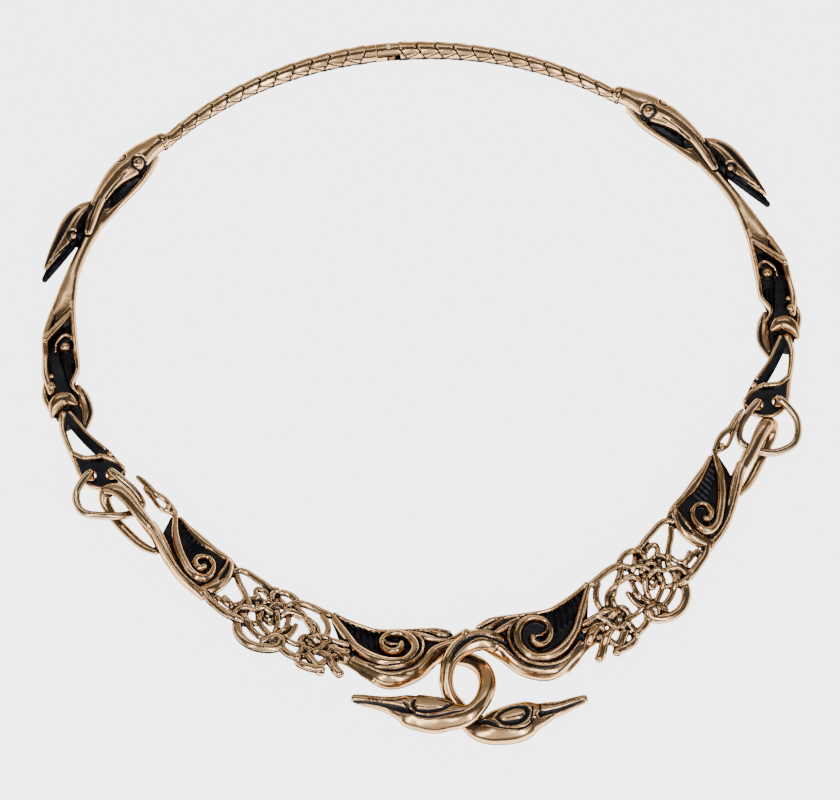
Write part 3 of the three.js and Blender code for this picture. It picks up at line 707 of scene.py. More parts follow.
def scale_pattern(along, around):
    turn = around / (2 * math.pi) * SCALE_COLUMNS
    columns = [scale_column(column, along, turn) for column in range(SCALE_COLUMNS + 1)]
    best = np.full(len(along), -np.inf)
    edge = np.zeros(len(along))
    gap = np.full(len(along), FAR)
    for behind, row, shift, near in columns:
        tip = row * SCALE_PITCH + shift
        over = near & (tip > best)
        edge = np.where(over, behind - row * SCALE_PITCH, edge)
        best = np.where(over, tip, best)
    for behind, row, shift, near in columns:
        next_tip = (row + 1) * SCALE_PITCH + shift
        ahead = (row + 1) * SCALE_PITCH - behind
        gap = np.where(near & (next_tip > best), np.minimum(gap, ahead), gap)
    return edge, gap


print("the scales repeat every", SCALE_PITCH, "mm in", SCALE_COLUMNS, "columns")

# %% The scaled rod
ROD_HEIGHT = 1.95
ROD_START = -1.0
ROD_END = 49.4
ROD_GAP = 0.3
ROD_RADIUS = 1.9
ROD_END_RADIUS = 1.25
ROD_SIDES = 64
ROD_RINGS = 360
TAPER_START = 2.0
CAP_SHARE = 0.02
CAP_BULGE = 0.12
SCALE_BED = 0.08
SCALE_LIFT = 0.16
SCALE_SLOPE = 1.2
SCALE_FADE = 0.3
LINE_WIDTH = 0.42


def rod(name, start):
    piece = new_ball(ROD_SIDES, ROD_RINGS)
    ring, around = rings_of(piece, ROD_RINGS)
    share = ring / ROD_RINGS
    around = around % (2 * math.pi)
    body = np.clip((share - CAP_SHARE) / (1 - 2 * CAP_SHARE), 0, 1)
    along = start + (ROD_END - start) * body
    from_end = np.clip(CAP_SHARE - np.minimum(share, 1 - share), 0, CAP_SHARE) / CAP_SHARE
    close = np.sqrt(np.clip(1 - from_end ** 2, 0, 1))
    taper = np.clip((along - TAPER_START) / (ROD_END - TAPER_START), 0, 1)
    edge, gap = scale_pattern(along, around)
    scaled = np.clip((along - SCALE_START) / SCALE_FADE, 0, 1)
    lift = SCALE_LIFT * np.exp(-edge / SCALE_SLOPE) - SCALE_LIFT * np.exp(-(gap / LINE_WIDTH) ** 2)
    radius = ROD_RADIUS + (ROD_END_RADIUS - ROD_RADIUS) * taper
    radius = (radius - SCALE_BED + scaled * lift) * close
    points = np.stack([along, radius * np.sin(around), ROD_HEIGHT + radius * np.cos(around)], axis=1)
    points[:, 0] += np.where(share < 0.5, -1, 1) * (1 - close) * CAP_BULGE
    set_points(piece, arm_at(points))
    # painted shade: the lower side of the rod is darkened
    under = UNDER_SHADE * np.clip((0.6 - np.cos(around)) / 0.9, 0, 1)
    line = np.clip(scaled * (2.2 - 1.7 * gap / LINE_WIDTH), 0, 1)
    end = np.clip(5 * (1 - close), 0, 1)
    set_patina(piece, np.maximum(np.maximum(line, under), end))
    piece.name = name
    print(name, "is", round(ROD_END - start, 1), "mm long and has", len(piece.data.polygons), "faces")
    return piece


right_rod = rod("right_rod", ROD_START)
left_rod = rod("left_rod", -ROD_START + ROD_GAP)

# %% [markdown]
# The hinge is as plain as can be: a slot sawn into the end of the right rod, a flat tongue on the left
# one, and a pin through both. The slot and the tongue could be shaped into the ball of each rod. They
# are cut and added as solids instead, as with a saw and a file, because their walls are flat. The walls
# of the slot are blackened, since no cloth reaches them.

# %% The slot in the right rod
BACK_Y = ARM_CENTRE_Y + ARM_HALF_DEPTH
PIN_X = PIN_PLACE[0]
PIN_HOLE_RADIUS = 0.6
PIN_DRILL = (-5, 10)
SAW_START = -6
SAW_REACH = 4
SLOT_HALF = 0.9
SLOT_END = 2.2
WALL_MARGIN = (0.05, 0.02)


def block(low, high):
    choose()
    bpy.ops.mesh.primitive_cube_add(size=1)
    piece = bpy.context.object
    low, high = np.array(low, float), np.array(high, float)
    set_points(piece, (points_of(piece) + 0.5) * (high - low) + low)
    return piece


slot_low = [SAW_START, BACK_Y - SAW_REACH, ROD_HEIGHT - SLOT_HALF]
slot_high = [PIN_X + SLOT_END, BACK_Y + SAW_REACH, ROD_HEIGHT + SLOT_HALF]
combine(right_rod, block(slot_low, slot_high), "DIFFERENCE")
combine(right_rod, upright(PIN_PLACE, PIN_HOLE_RADIUS, *PIN_DRILL), "DIFFERENCE")
sawn = points_of(right_rod)
in_slot = sawn[:, 0] < slot_high[0] + WALL_MARGIN[0]
in_slot &= np.abs(sawn[:, 2] - ROD_HEIGHT) < SLOT_HALF + WALL_MARGIN[1]
set_patina(right_rod, np.where(in_slot, 1.0, patina_of(right_rod)))
print("the slot is", round(2 * SLOT_HALF, 1), "mm high, and", int(in_slot.sum()), "of its points are black")

# %% The tongue on the left rod and the pin
TONGUE_HALF = 0.6
TONGUE_RADIUS = ROD_RADIUS - 0.1
TONGUE_ROOT = 2.5
TONGUE_HALF_WIDTH = 1.7
PIN_RADIUS = 0.55
PIN_FOOT = 0.4

tongue_low = ROD_HEIGHT - TONGUE_HALF
tongue_high = ROD_HEIGHT + TONGUE_HALF
root_low = [-PIN_X, BACK_Y - TONGUE_HALF_WIDTH, tongue_low]
root_high = [TONGUE_ROOT, BACK_Y + TONGUE_HALF_WIDTH, tongue_high]
combine(left_rod, upright((-PIN_X, BACK_Y), TONGUE_RADIUS, tongue_low, tongue_high), "UNION")
combine(left_rod, block(root_low, root_high), "UNION")
combine(left_rod, upright((-PIN_X, BACK_Y), PIN_HOLE_RADIUS, *PIN_DRILL), "DIFFERENCE")
pin = upright(PIN_PLACE, PIN_RADIUS, PIN_FOOT, ROD_HEIGHT + ROD_RADIUS)
pin.name = "pin"
print("the tongue has", round(SLOT_HALF - TONGUE_HALF, 1), "mm of play above and below")

# %% [markdown]
# A front panel has a long inner scroll by the clasp, an open interlace in the middle and an outer
# scroll by the wire. The scrolls are ropes of metal curled over a sunk dark ground. They could be
# curves with a bevel standing on a plate, but the ropes swell and thin out on their way. So every rope
# is a bar whose top is given at each station, and whose foot stands in the ground. The numbers of a
# rope's station are its place along the panel, its place down the face, its top and its half width.

# %% The ropes of the inner scroll
INNER_ROPE = [
    [-14.1, -6.4, 0.9, 0.45], [-15.8, -5.1, 1.0, 0.5], [-17.7, -3.5, 1.2, 0.6], [-19.4, -2.0, 1.4, 0.65],
    [-20.9, -0.6, 1.6, 0.7], [-22.7, 0.5, 1.9, 0.75], [-24.7, 1.4, 2.2, 0.85], [-27.0, 1.9, 2.4, 0.9],
    [-29.0, 1.7, 2.5, 0.9], [-30.8, 0.8, 2.4, 0.9], [-31.7, -0.7, 2.2, 0.85], [-32.1, -2.4, 2.0, 0.85],
    [-31.7, -4.1, 1.9, 0.8], [-30.4, -5.5, 1.7, 0.75], [-28.6, -6.0, 1.6, 0.6], [-26.9, -5.5, 1.6, 0.55],
    [-25.7, -4.4, 1.7, 0.5], [-25.4, -2.9, 1.9, 0.5], [-26.0, -1.5, 2.1, 0.55], [-27.4, -0.6, 2.4, 0.6],
    [-28.8, -0.7, 2.7, 0.6], [-29.5, -1.8, 2.9, 0.6], [-29.4, -2.5, 2.9, 0.5],
]
INNER_LIP = [
    [-29.0, -2.4, 2.3, 0.3], [-27.8, -2.2, 2.2, 0.3], [-26.6, -2.4, 2.0, 0.3], [-26.0, -3.0, 1.8, 0.25],
]
INNER_EDGE = [
    [-30.0, -6.6, 1.0, 0.35], [-32.0, -6.1, 1.2, 0.35], [-33.3, -4.6, 1.5, 0.35],
      [-33.6, -2.6, 1.9, 0.35],
    [-33.2, -0.7, 2.1, 0.35], [-32.2, 1.0, 2.3, 0.35], [-30.7, 2.3, 2.4, 0.35], [-28.9, 3.2, 2.3, 0.35],
    [-26.9, 3.6, 2.1, 0.35], [-25.2, 3.4, 1.8, 0.35], [-23.5, 2.8, 1.4, 0.35], [-21.5, 1.9, 1.0, 0.35],
]
NECK_LOWER = [
    [-41.8, -5.4, 1.6, 1.0], [-39.5, -5.1, 1.5, 0.9], [-37.3, -4.2, 1.4, 0.8], [-35.7, -3.0, 1.4, 0.8],
    [-34.8, -1.3, 1.5, 0.8], [-33.9, 0.4, 1.6, 0.8], [-32.6, 2.2, 1.6, 0.8], [-30.5, 3.5, 1.5, 0.8],
    [-28.1, 4.4, 1.3, 0.7], [-25.7, 4.1, 1.1, 0.6], [-23.2, 3.3, 0.9, 0.5],
]
NECK_UPPER = [
    [-41.3, -7.2, 1.8, 0.8], [-38.8, -5.9, 1.5, 0.3], [-36.8, -5.6, 1.3, 0.35], [-34.6, -6.0, 1.3, 0.6],
    [-32.4, -6.5, 1.2, 0.55], [-30.1, -6.8, 1.0, 0.4],
]
INNER_TOP = [
    [-38.5, -7.8, 1.2, 0.35], [-35.8, -8.3, 1.0, 0.45], [-33.7, -8.1, 0.9, 0.4], [-31.0, -7.6, 0.9, 0.35],
    [-27.7, -6.8, 0.9, 0.35], [-24.7, -6.1, 0.8, 0.35], [-23.2, -5.9, 0.8, 0.35],
      [-21.3, -6.0, 0.8, 0.35],
    [-18.8, -6.2, 0.8, 0.35], [-16.2, -6.5, 0.8, 0.35], [-14.3, -6.8, 0.9, 0.4],
]
print("the inner rope is", length_of(INNER_ROPE), "mm long")

# %% The floor and the belly of the inner scroll
ALMOND = [
    [-38.0, -7.0, 1.2, 0.35], [-36.5, -7.0, 1.4, 0.5], [-34.6, -7.5, 1.2, 0.3], [-33.2, -7.7, 1.0, 0.2],
]
ALMOND_GROUND = [
    [-38.9, -7.2, 0.9, 0.5], [-37.0, -6.7, 0.9, 0.8], [-34.7, -7.2, 0.7, 0.8], [-32.7, -7.8, 0.6, 0.4],
]
BELLY_END = [
    [-26.2, 5.0, 0.4, 0.9], [-24.3, 4.3, 0.4, 0.9], [-22.4, 3.4, 0.5, 0.8], [-20.5, 2.9, 0.5, 0.7],
    [-18.9, 3.0, 0.4, 0.5],
]
INNER_FLOOR = [
    [-37, -4.6, -0.45, 1.4, 0.5], [-35, -3.9, -0.45, 3.2, 0.5], [-32, -2.2, -0.45, 4.6, 0.5],
    [-28, -1.2, -0.45, 5.4, 0.5], [-24, -1.2, -0.45, 4.8, 0.5], [-20.6, -2.6, -0.45, 3.2, 0.5],
    [-17, -4.8, -0.45, 1.6, 0.45], [-14.5, -6.1, -0.4, 0.5, 0.4],
]
BELLY = [
    [-38.2, -4.6, -0.3, 1.2, 1.1], [-37, -3.6, -0.4, 1.3, 1.3], [-35.2, -1.5, -0.5, 1.4, 1.6],
    [-32.2, 2.3, -0.5, 1.6, 1.9], [-28.3, 4.4, -0.5, 1.6, 2.0], [-24.4, 3.5, -0.3, 1.3, 1.7],
    [-21.4, 2.6, 0.0, 1.0, 1.1],
]
print("the belly is", length_of(BELLY), "mm long")

# %% Building the inner scroll
GROUND = -0.6
FULLNESS = 1.25
HATCH_HEIGHT = 0.1
HATCH_DARK = 0.8
HATCH_SIDES = 6
INNER_HATCHES = 7
INNER_HATCH_START = -24.4
INNER_HATCH_PITCH = 1.25


def ridge(at, rows, kind="round", foot=GROUND, **finish):
    stations = [[x, y, (top + foot) / 2, FULLNESS * half, (top - foot) / 2] for x, y, top, half in rows]
    return bar(at, stations, kind, **finish)


def hatch(at, places, half, thick):
    stations = [[x, y, HATCH_HEIGHT, half, thick] for x, y in places]
    return bar(at, stations, sides=HATCH_SIDES, dark=HATCH_DARK)


def inner_hatches(at):
    for number in range(INNER_HATCHES):
        x = INNER_HATCH_START + INNER_HATCH_PITCH * number
        places = [[x, -5.6], [x - 0.6, -3.6 + 0.1 * number], [x - 1.4, -1.4 - 0.2 * number]]
        yield hatch(at, places, 0.16, 0.25)


def inner_scroll(at):
    return [
        bar(at, INNER_FLOOR, "flat", dark=1.0, sides=20),
        bar(at, BELLY, sides=18),
        ridge(at, INNER_TOP),
        ridge(at, INNER_ROPE, side_dark=0.5),
        ridge(at, INNER_LIP),
        ridge(at, INNER_EDGE, side_dark=0.4),
        ridge(at, NECK_LOWER),
        ridge(at, NECK_UPPER, side_dark=0.4),
        ridge(at, ALMOND_GROUND, "flat", dark=1.0),
        ridge(at, ALMOND, side_dark=0.3),
        ridge(at, BELLY_END),
        *inner_hatches(at),
    ]


print("the ground of the inner scroll is hatched with", INNER_HATCHES, "small bars")

# %% [markdown]
# The outer scroll is built in the same way. Its rim runs on, turns over the wire loop and comes back
# underneath as a hook, and a slim forked finger lies beside it. The hook could be a panel of its own,
# but on the ring it is one casting with the scroll. It turns out of the face, so its bar is given the
# direction across the panel as its upward one.

# %% The ropes of the outer scroll
OUTER_TOP = [
    [24.6, -5.8, 0.8, 0.35], [22.0, -5.7, 0.9, 0.5], [19.4, -5.7, 1.0, 0.7], [16.7, -5.8, 1.0, 0.75],
    [14.2, -6.0, 0.9, 0.6], [12.1, -6.2, 0.9, 0.6], [10.1, -6.3, 0.7, 0.5], [8.4, -6.0, 0.4, 0.4],
]
OUTER_ROPE = [
    [25.9, -5.6, 1.0, 0.4], [24.4, -4.4, 1.1, 0.5], [22.7, -3.0, 1.3, 0.6], [21.0, -1.8, 1.5, 0.7],
    [19.2, -0.7, 1.6, 0.75], [17.4, 0.2, 1.7, 0.75], [15.5, 1.0, 1.8, 0.75], [13.5, 1.7, 1.9, 0.75],
    [11.9, 1.7, 2.0, 0.75], [10.8, 1.1, 2.0, 0.75], [10.5, -0.1, 1.9, 0.7], [10.8, -1.4, 1.7, 0.6],
    [11.4, -2.5, 1.5, 0.5], [12.5, -3.3, 1.4, 0.5], [13.6, -3.4, 1.4, 0.45], [14.7, -2.7, 1.4, 0.45],
    [15.0, -1.7, 1.6, 0.5], [14.5, -0.5, 1.8, 0.6], [13.3, 0.1, 2.0, 0.6], [12.4, -0.1, 2.1, 0.55],
]
OUTER_SLOPE = [
    [26.1, 0.0, 1.5, 0.8], [23.6, 0.3, 1.3, 0.8], [21.0, 1.0, 1.2, 0.8], [18.3, 1.9, 1.1, 0.8],
    [15.5, 2.5, 1.0, 0.8], [12.7, 2.9, 0.9, 0.8], [10.6, 2.7, 0.9, 0.7],
]
OUTER_EDGE = [
    [29.1, 0.3, 1.9, 0.8], [26.9, 0.4, 1.8, 0.8], [24.5, 0.6, 1.7, 0.75], [22.3, 1.2, 1.7, 0.7],
    [19.8, 1.9, 1.6, 0.65], [17.3, 2.6, 1.5, 0.6], [14.6, 3.2, 1.4, 0.6], [12.0, 3.4, 1.3, 0.6],
    [9.9, 3.4, 1.1, 0.6], [8.7, 3.6, 0.8, 0.5],
]
BAND = [
    [10.9, -6.4, 0.8, 0.5], [9.6, -5.0, 1.4, 0.9], [8.8, -3.2, 1.6, 1.15], [8.4, -1.3, 1.6, 1.2],
    [8.5, 0.6, 1.5, 1.15], [9.1, 2.2, 1.2, 0.95], [10.0, 3.2, 0.9, 0.6],
]
print("the outer rope is", length_of(OUTER_ROPE), "mm long")

# %% The floor, the finger and the hook
FINGER_LEFT = [
    [26.1, -5.7, 1.0, 0.4], [28.2, -5.8, 1.1, 0.45], [30.2, -5.5, 1.3, 0.5], [32.1, -4.6, 1.5, 0.5],
    [34.1, -4.3, 1.5, 0.5], [35.8, -3.9, 1.5, 0.45], [36.9, -3.5, 1.4, 0.3],
]
FINGER_RIGHT = [
    [26.1, -5.3, 0.9, 0.35], [27.1, -4.5, 1.0, 0.35], [28.4, -3.8, 1.1, 0.35], [30.1, -3.7, 1.2, 0.35],
    [31.6, -3.8, 1.3, 0.4], [33.0, -3.6, 1.3, 0.35], [34.1, -3.6, 1.1, 0.3],
]
OUTER_FLOOR = [
    [8.6, -1.6, -0.4, 4.7, 0.5], [12, -1.8, -0.4, 4.7, 0.5], [16, -2.0, -0.4, 4.4, 0.5],
    [20, -2.3, -0.4, 3.9, 0.5], [22.4, -3.2, -0.4, 2.7, 0.45], [24.3, -4.3, -0.3, 1.5, 0.4],
    [25.6, -5.0, -0.3, 0.7, 0.4],
]
HOOK = [
    [26, 0.6, 0.8, 0.9, 1.0], [29.5, 0.9, 1.2, 1.0, 1.15], [33.2, 1.1, 1.3, 1.1, 1.35],
    [35.6, 1.6, 0.9, 1.15, 1.5], [37.0, 2.6, -0.5, 1.15, 1.45], [35.9, 3.5, -1.9, 0.9, 1.2],
    [32.5, 3.5, -2.7, 0.75, 1.0], [28.5, 3.3, -2.5, 0.75, 1.0], [24.5, 3.0, -1.9, 0.7, 0.9],
    [21.4, 2.4, -0.9, 0.5, 0.6],
]
print("the finger reaches", FINGER_LEFT[-1][0], "mm along the panel and the hook", HOOK[4][0], "mm")

# %% Building the outer scroll
ACROSS = (0, 1, 0)
OUTER_HATCHES = 8
OUTER_HATCH_START = 15.9
OUTER_HATCH_PITCH = 1.1
SHORT_HATCHES = 4


def outer_hatches(at):
    for number in range(OUTER_HATCHES):
        x = OUTER_HATCH_START + OUTER_HATCH_PITCH * number
        foot = -3.1 + 0.25 * max(SHORT_HATCHES - number, 0)
        yield hatch(at, [[x, -5.5], [x - 0.1, -4.2], [x - 0.4, foot]], 0.17, 0.3)


def outer_scroll(at):
    return [
        bar(at, OUTER_FLOOR, "flat", dark=1.0, sides=20),
        ridge(at, OUTER_TOP),
        ridge(at, OUTER_ROPE, side_dark=0.5),
        ridge(at, OUTER_SLOPE),
        ridge(at, OUTER_EDGE, foot=-1.3),
        ridge(at, BAND, foot=-0.9),
        ridge(at, FINGER_LEFT, foot=0.2),
        ridge(at, FINGER_RIGHT, foot=0.0),
        dome(at, (27.7, -4.8, 1.1), (0.6, 0.5, 0.6)),
        dome(at, (12.3, -0.5, 1.7), (0.6, 0.6, 0.7)),
        bar(at, HOOK, up=ACROSS, sides=20),
        *outer_hatches(at),
    ]


print("the ground of the outer scroll is hatched with", OUTER_HATCHES, "small bars")

# %% [markdown]
# Between the scrolls the panel is pierced: thin strands, like creatures with no end, cross over and
# under each other. Each crossing could be modelled with its own bend. It is easier to draw the strands
# flat, to let the script find where two of them come close, and to lift one and press down the other
# there, in turn along each strand. So a strand is a list of places, the level it runs at and its half
# width.

# %% The strands of the interlace
STRANDS = [
    ([[-13.5, -6.2], [-11.3, -6.4], [-9.6, -6.5], [-8.1, -6.4], [-6.8, -6.1], [-5.9, -5.3],
      [-5.4, -4.5]], 0.5, 0.55),
    ([[-12.3, -5.6], [-13.5, -4.7], [-14.4, -3.5], [-14.8, -2.1], [-14.5, -0.8]], 0.1, 0.5),
    ([[-6.8, -5.1], [-8.1, -4.3], [-9.6, -3.5], [-10.8, -2.6], [-12.0, -1.7], [-13.0, -0.7]], 0.3, 0.5),
    ([[-9.6, -3.4], [-11.2, -3.3], [-12.4, -2.7], [-13.2, -1.6], [-13.4, -0.4]], 0.0, 0.42),
    ([[-8.8, -3.6], [-7.4, -3.4], [-6.1, -2.8], [-5.3, -1.7], [-4.8, -0.3]], 0.5, 0.5),
    ([[-6.1, -6.5], [-4.4, -6.9], [-2.9, -6.7], [-1.7, -5.9], [-1.3, -4.9], [-1.7, -3.8]], 0.5, 0.5),
    ([[-2.0, -5.7], [-3.4, -4.8], [-4.8, -3.9], [-6.1, -3.0], [-6.9, -1.6], [-7.3, -0.2], [-7.4, 1.1],
      [-7.2, 2.5]], 0.0, 0.45),
    ([[-6.0, -5.5], [-5.1, -4.4], [-3.9, -3.7], [-3.0, -2.7], [-2.7, -1.4], [-3.1, -0.2]], 0.3, 0.45),
    ([[-1.8, -6.0], [-0.6, -6.0], [1.5, -6.3], [3.8, -6.4], [6.0, -6.4], [7.5, -5.8],
      [8.0, -4.9]], 0.3, 0.5),
    ([[-2.3, -3.9], [-0.7, -4.6], [0.8, -4.9], [2.0, -4.4], [1.7, -3.5], [0.5, -2.8]], 0.2, 0.42),
    ([[6.9, -4.4], [5.4, -3.3], [3.6, -2.3], [2.1, -1.2], [1.0, -0.2], [0.7, 1.1], [0.0, 2.6],
      [-1.3, 3.7],
      [-2.9, 4.5], [-4.5, 4.9], [-6.1, 4.5]], 0.3, 0.5),
    ([[-1.6, -2.7], [-0.3, -2.9], [1.0, -2.3], [1.5, -1.2], [0.8, 0.0]], 0.4, 0.42),
    ([[0.8, -2.3], [-0.4, -1.0], [-1.5, 0.4], [-2.3, 1.7], [-3.6, 2.6], [-4.9, 3.2],
      [-6.2, 3.8]], 0.1, 0.45),
    ([[-2.7, -4.1], [-2.5, -2.9], [-1.5, -2.6], [-1.2, -1.6], [-1.8, -0.5], [-2.3, 1.1], [-2.4, 2.5],
      [-1.4, 3.1]], 0.5, 0.42),
    ([[-4.2, -2.5], [-3.1, -2.3], [-1.9, -2.1], [-0.5, -2.4]], 0.1, 0.42),
    ([[-4.5, -0.9], [-3.1, -1.0], [-1.6, -0.9], [-0.7, 0.1], [0.7, 0.8], [1.8, 1.8], [2.0, 3.2],
      [1.4, 4.3]], 0.4, 0.42),
    ([[-3.1, -3.2], [-3.9, -1.8], [-4.9, -0.7], [-5.7, 0.6], [-6.1, 2.0], [-6.4, 3.5]], 0.3, 0.45),
    ([[-4.3, -0.2], [-4.6, 1.2], [-3.3, 0.9], [-2.0, 0.4]], 0.2, 0.35),
    ([[3.0, 1.1], [3.1, 2.3], [2.3, 3.3], [0.9, 3.6], [-0.4, 3.4]], 0.0, 0.45),
    ([[0.5, 3.6], [0.2, 4.9], [-0.6, 6.2], [-1.8, 7.1], [-3.3, 7.6], [-4.9, 7.5], [-6.4, 6.9],
      [-7.7, 5.9],
      [-8.3, 4.9], [-8.1, 4.1], [-7.3, 3.9], [-6.8, 4.5], [-7.2, 5.1]], 0.4, 0.72),
    ([[-8.8, -1.0], [-8.9, 0.4], [-8.7, 1.9], [-8.0, 3.1], [-6.8, 3.7]], 0.4, 0.42),
    ([[-7.7, -0.3], [-7.7, 1.1], [-7.4, 2.5], [-6.6, 3.5], [-6.0, 4.7], [-5.2, 5.8]], 0.1, 0.42),
    ([[-7.3, 0.7], [-7.2, 2.0], [-6.9, 3.2], [-6.8, 4.2]], 0.6, 0.38),
    ([[2.4, -0.7], [2.5, 0.5], [3.1, 1.5], [4.1, 2.1], [5.4, 2.0], [6.8, 2.1]], 0.2, 0.4),
    ([[8.8, 3.0], [7.3, 3.7], [5.5, 4.0], [3.7, 4.2], [1.9, 4.3], [0.4, 4.2], [-0.8, 3.6]], 0.5, 0.55),
    ([[5.6, 1.2], [4.1, 1.6], [2.6, 1.9], [1.2, 2.4], [0.0, 3.1]], 0.4, 0.4),
    ([[7.2, 2.8], [5.7, 3.4], [4.1, 3.6], [2.5, 3.6]], 0.1, 0.35),
    ([[-19.5, -0.8], [-17.8, -0.7], [-16.2, -0.7], [-14.7, -0.6], [-13.4, -0.2], [-12.5, 0.8]], 0.3, 0.5),
    ([[-20.2, 2.5], [-18.9, 1.7], [-17.3, 1.2], [-15.8, 0.9], [-14.5, 0.7], [-13.2, 0.4]], 0.5, 0.7),
    ([[-17.1, 3.6], [-15.9, 3.1], [-14.7, 2.6], [-13.4, 2.0], [-12.1, 1.4]], 0.5, 0.5),
    ([[-12.5, -0.8], [-12.0, 0.1], [-11.2, 0.8], [-11.1, 2.0], [-12.1, 3.0], [-13.6, 3.5]], 0.4, 0.5),
    ([[-12.1, 2.8], [-10.7, 3.0], [-9.3, 3.0], [-8.1, 2.8]], 0.1, 0.42),
    ([[-15.9, -0.1], [-15.3, 0.9], [-14.9, 2.3], [-14.2, 3.2], [-13.4, 4.0], [-12.8, 5.1]], 0.1, 0.48),
    ([[-12.3, 3.3], [-12.2, 4.4], [-12.3, 5.8], [-13.0, 6.8], [-14.3, 7.1], [-15.7, 7.0],
      [-17.0, 6.8]], 0.4, 0.6),
    ([[-7.8, 3.1], [-8.5, 4.6], [-9.7, 5.6], [-11.1, 5.9], [-12.3, 6.2]], 0.3, 0.58),
    ([[-19.6, 1.3], [-18.5, 2.4], [-17.6, 3.3], [-16.9, 4.2], [-16.3, 5.7]], 0.5, 0.5),
    ([[-17.0, 3.5], [-18.1, 4.5], [-19.2, 5.6], [-20.1, 6.3]], 0.3, 0.68),
    ([[-13.7, 4.6], [-14.8, 5.4], [-15.8, 6.2], [-16.8, 6.9]], 0.4, 0.66),
    ([[-20.0, 0.5], [-18.6, 0.7], [-17.1, 0.7], [-16.7, 2.0], [-16.7, 3.4]], 0.0, 0.42),
    ([[-12.0, -1.7], [-12.3, -0.6], [-12.7, 0.8], [-13.0, 2.4], [-12.2, 3.6]], 0.0, 0.42),
]
together = sum(length_of(places) for places, level, half in STRANDS)
print("the", len(STRANDS), "strands are", round(together), "mm long together")

# %% Weaving the strands
STRAND_STEP = 0.6
STRAND_FULLNESS = 1.3
STRAND_LIFT = 0.38
STRAND_BASE = 0.15
STRAND_THICKNESS = 0.9
STRAND_BULK = 0.1
LEVEL_HEIGHT = 0.4
MOST_LIFT = 0.6
CROSSING_GAP = 0.4
CROSSING_LENGTH = 0.95
CROSSING_POINTS = 3


def crossings(paths):
    found = []
    for one, path in enumerate(paths):
        for other in range(one + 1, len(paths)):
            gaps = np.linalg.norm(path[:, None, :2] - paths[other][None, :, :2], axis=2)
            while gaps.min() < CROSSING_GAP:
                here, there = np.unravel_index(gaps.argmin(), gaps.shape)
                found.append((one, here, other, there))
                gaps[max(0, here - CROSSING_POINTS):here + CROSSING_POINTS + 1, :] = FAR
    return found


def woven(paths):
    over = {}
    lifts = [np.zeros(len(path)) for path in paths]
    for one, here, other, there in crossings(paths):
        way = -over.get(one, over.get(other, 1))
        over[one], over[other] = way, -way
        for strand, middle, sign in ((one, here, way), (other, there, -way)):
            away = np.linalg.norm(paths[strand][:, :2] - paths[strand][middle, :2], axis=1)
            lifts[strand] += sign * STRAND_LIFT * np.exp(-(away / CROSSING_LENGTH) ** 2)
    return [np.clip(lift, -MOST_LIFT, MOST_LIFT) for lift in lifts]


def strand_paths():
    paths = []
    for places, level, half in STRANDS:
        rows = [[x, y, STRAND_BASE + LEVEL_HEIGHT * level, STRAND_FULLNESS * half] for x, y in places]
        paths.append(smooth_line(rows, STRAND_STEP))
    return paths


def interlace(at):
    paths = strand_paths()
    pieces = []
    for path, lift in zip(paths, woven(paths)):
        half = path[:, 3]
        thick = STRAND_THICKNESS * half + STRAND_BULK
        stations = np.column_stack([path[:, :2], path[:, 2] + lift, half, thick])
        pieces.append(bar(at, stations, side_dark=0.9))
    return pieces


print("the strands cross", len(crossings(strand_paths())), "times")

# %% [markdown]
# The clasp is a pair of necks that curl through each other, each ending in a bird's head with a long
# flat bill laid along the other bird's neck. A neck could be swept along a spiral, but the two differ:
# the right one rises first and then dives, the left one runs low and then climbs. Each is one bar from
# the panel to the tip of the bill, in plan coordinates, with stations close enough together to swell it
# into the head. The numbers of a station are its two places in plan, its height, its half width and its
# half thickness.

# %% The right neck and its bird
RIGHT_NECK = [
    [9.0, -58.0, 3.0, 1.4, 1.2], [6.3, -57.3, 4.6, 1.9, 1.3], [4.2, -56.6, 5.8, 2.2, 1.4],
    [1.9, -56.6, 6.0, 2.15, 1.4], [-0.2, -57.3, 6.0, 1.95, 1.4], [-2.0, -58.5, 5.9, 1.7, 1.45],
    [-3.4, -60.1, 5.6, 1.45, 1.45], [-4.1, -62.0, 5.1, 1.3, 1.4], [-4.4, -63.9, 4.4, 1.3, 1.4],
    [-4.0, -65.8, 3.3, 1.35, 1.4], [-2.9, -67.5, 2.3, 1.5, 1.4], [-1.8, -69.3, 2.0, 1.8, 1.4],
]
RIGHT_BIRD = [
    [-0.6, -70.8, 2.0, 2.2, 1.5], [0.7, -72.2, 2.1, 2.5, 1.8], [2.5, -72.6, 2.2, 3.1, 2.1],
    [4.3, -72.5, 2.3, 3.5, 2.2], [6.2, -72.3, 2.3, 3.75, 2.3], [8.1, -71.9, 2.3, 3.7, 2.3],
    [10.0, -71.3, 2.3, 3.2, 2.1], [11.9, -71.0, 2.3, 2.3, 1.7], [13.8, -70.5, 2.3, 1.75, 1.4],
    [15.7, -70.2, 2.3, 1.4, 1.2], [18.0, -69.5, 2.3, 1.1, 1.0], [20.4, -68.9, 2.3, 0.8, 0.8],
]
print("in plan the right neck is", length_of(RIGHT_NECK), "mm long")
print("and its bird is", length_of(RIGHT_BIRD), "mm long")

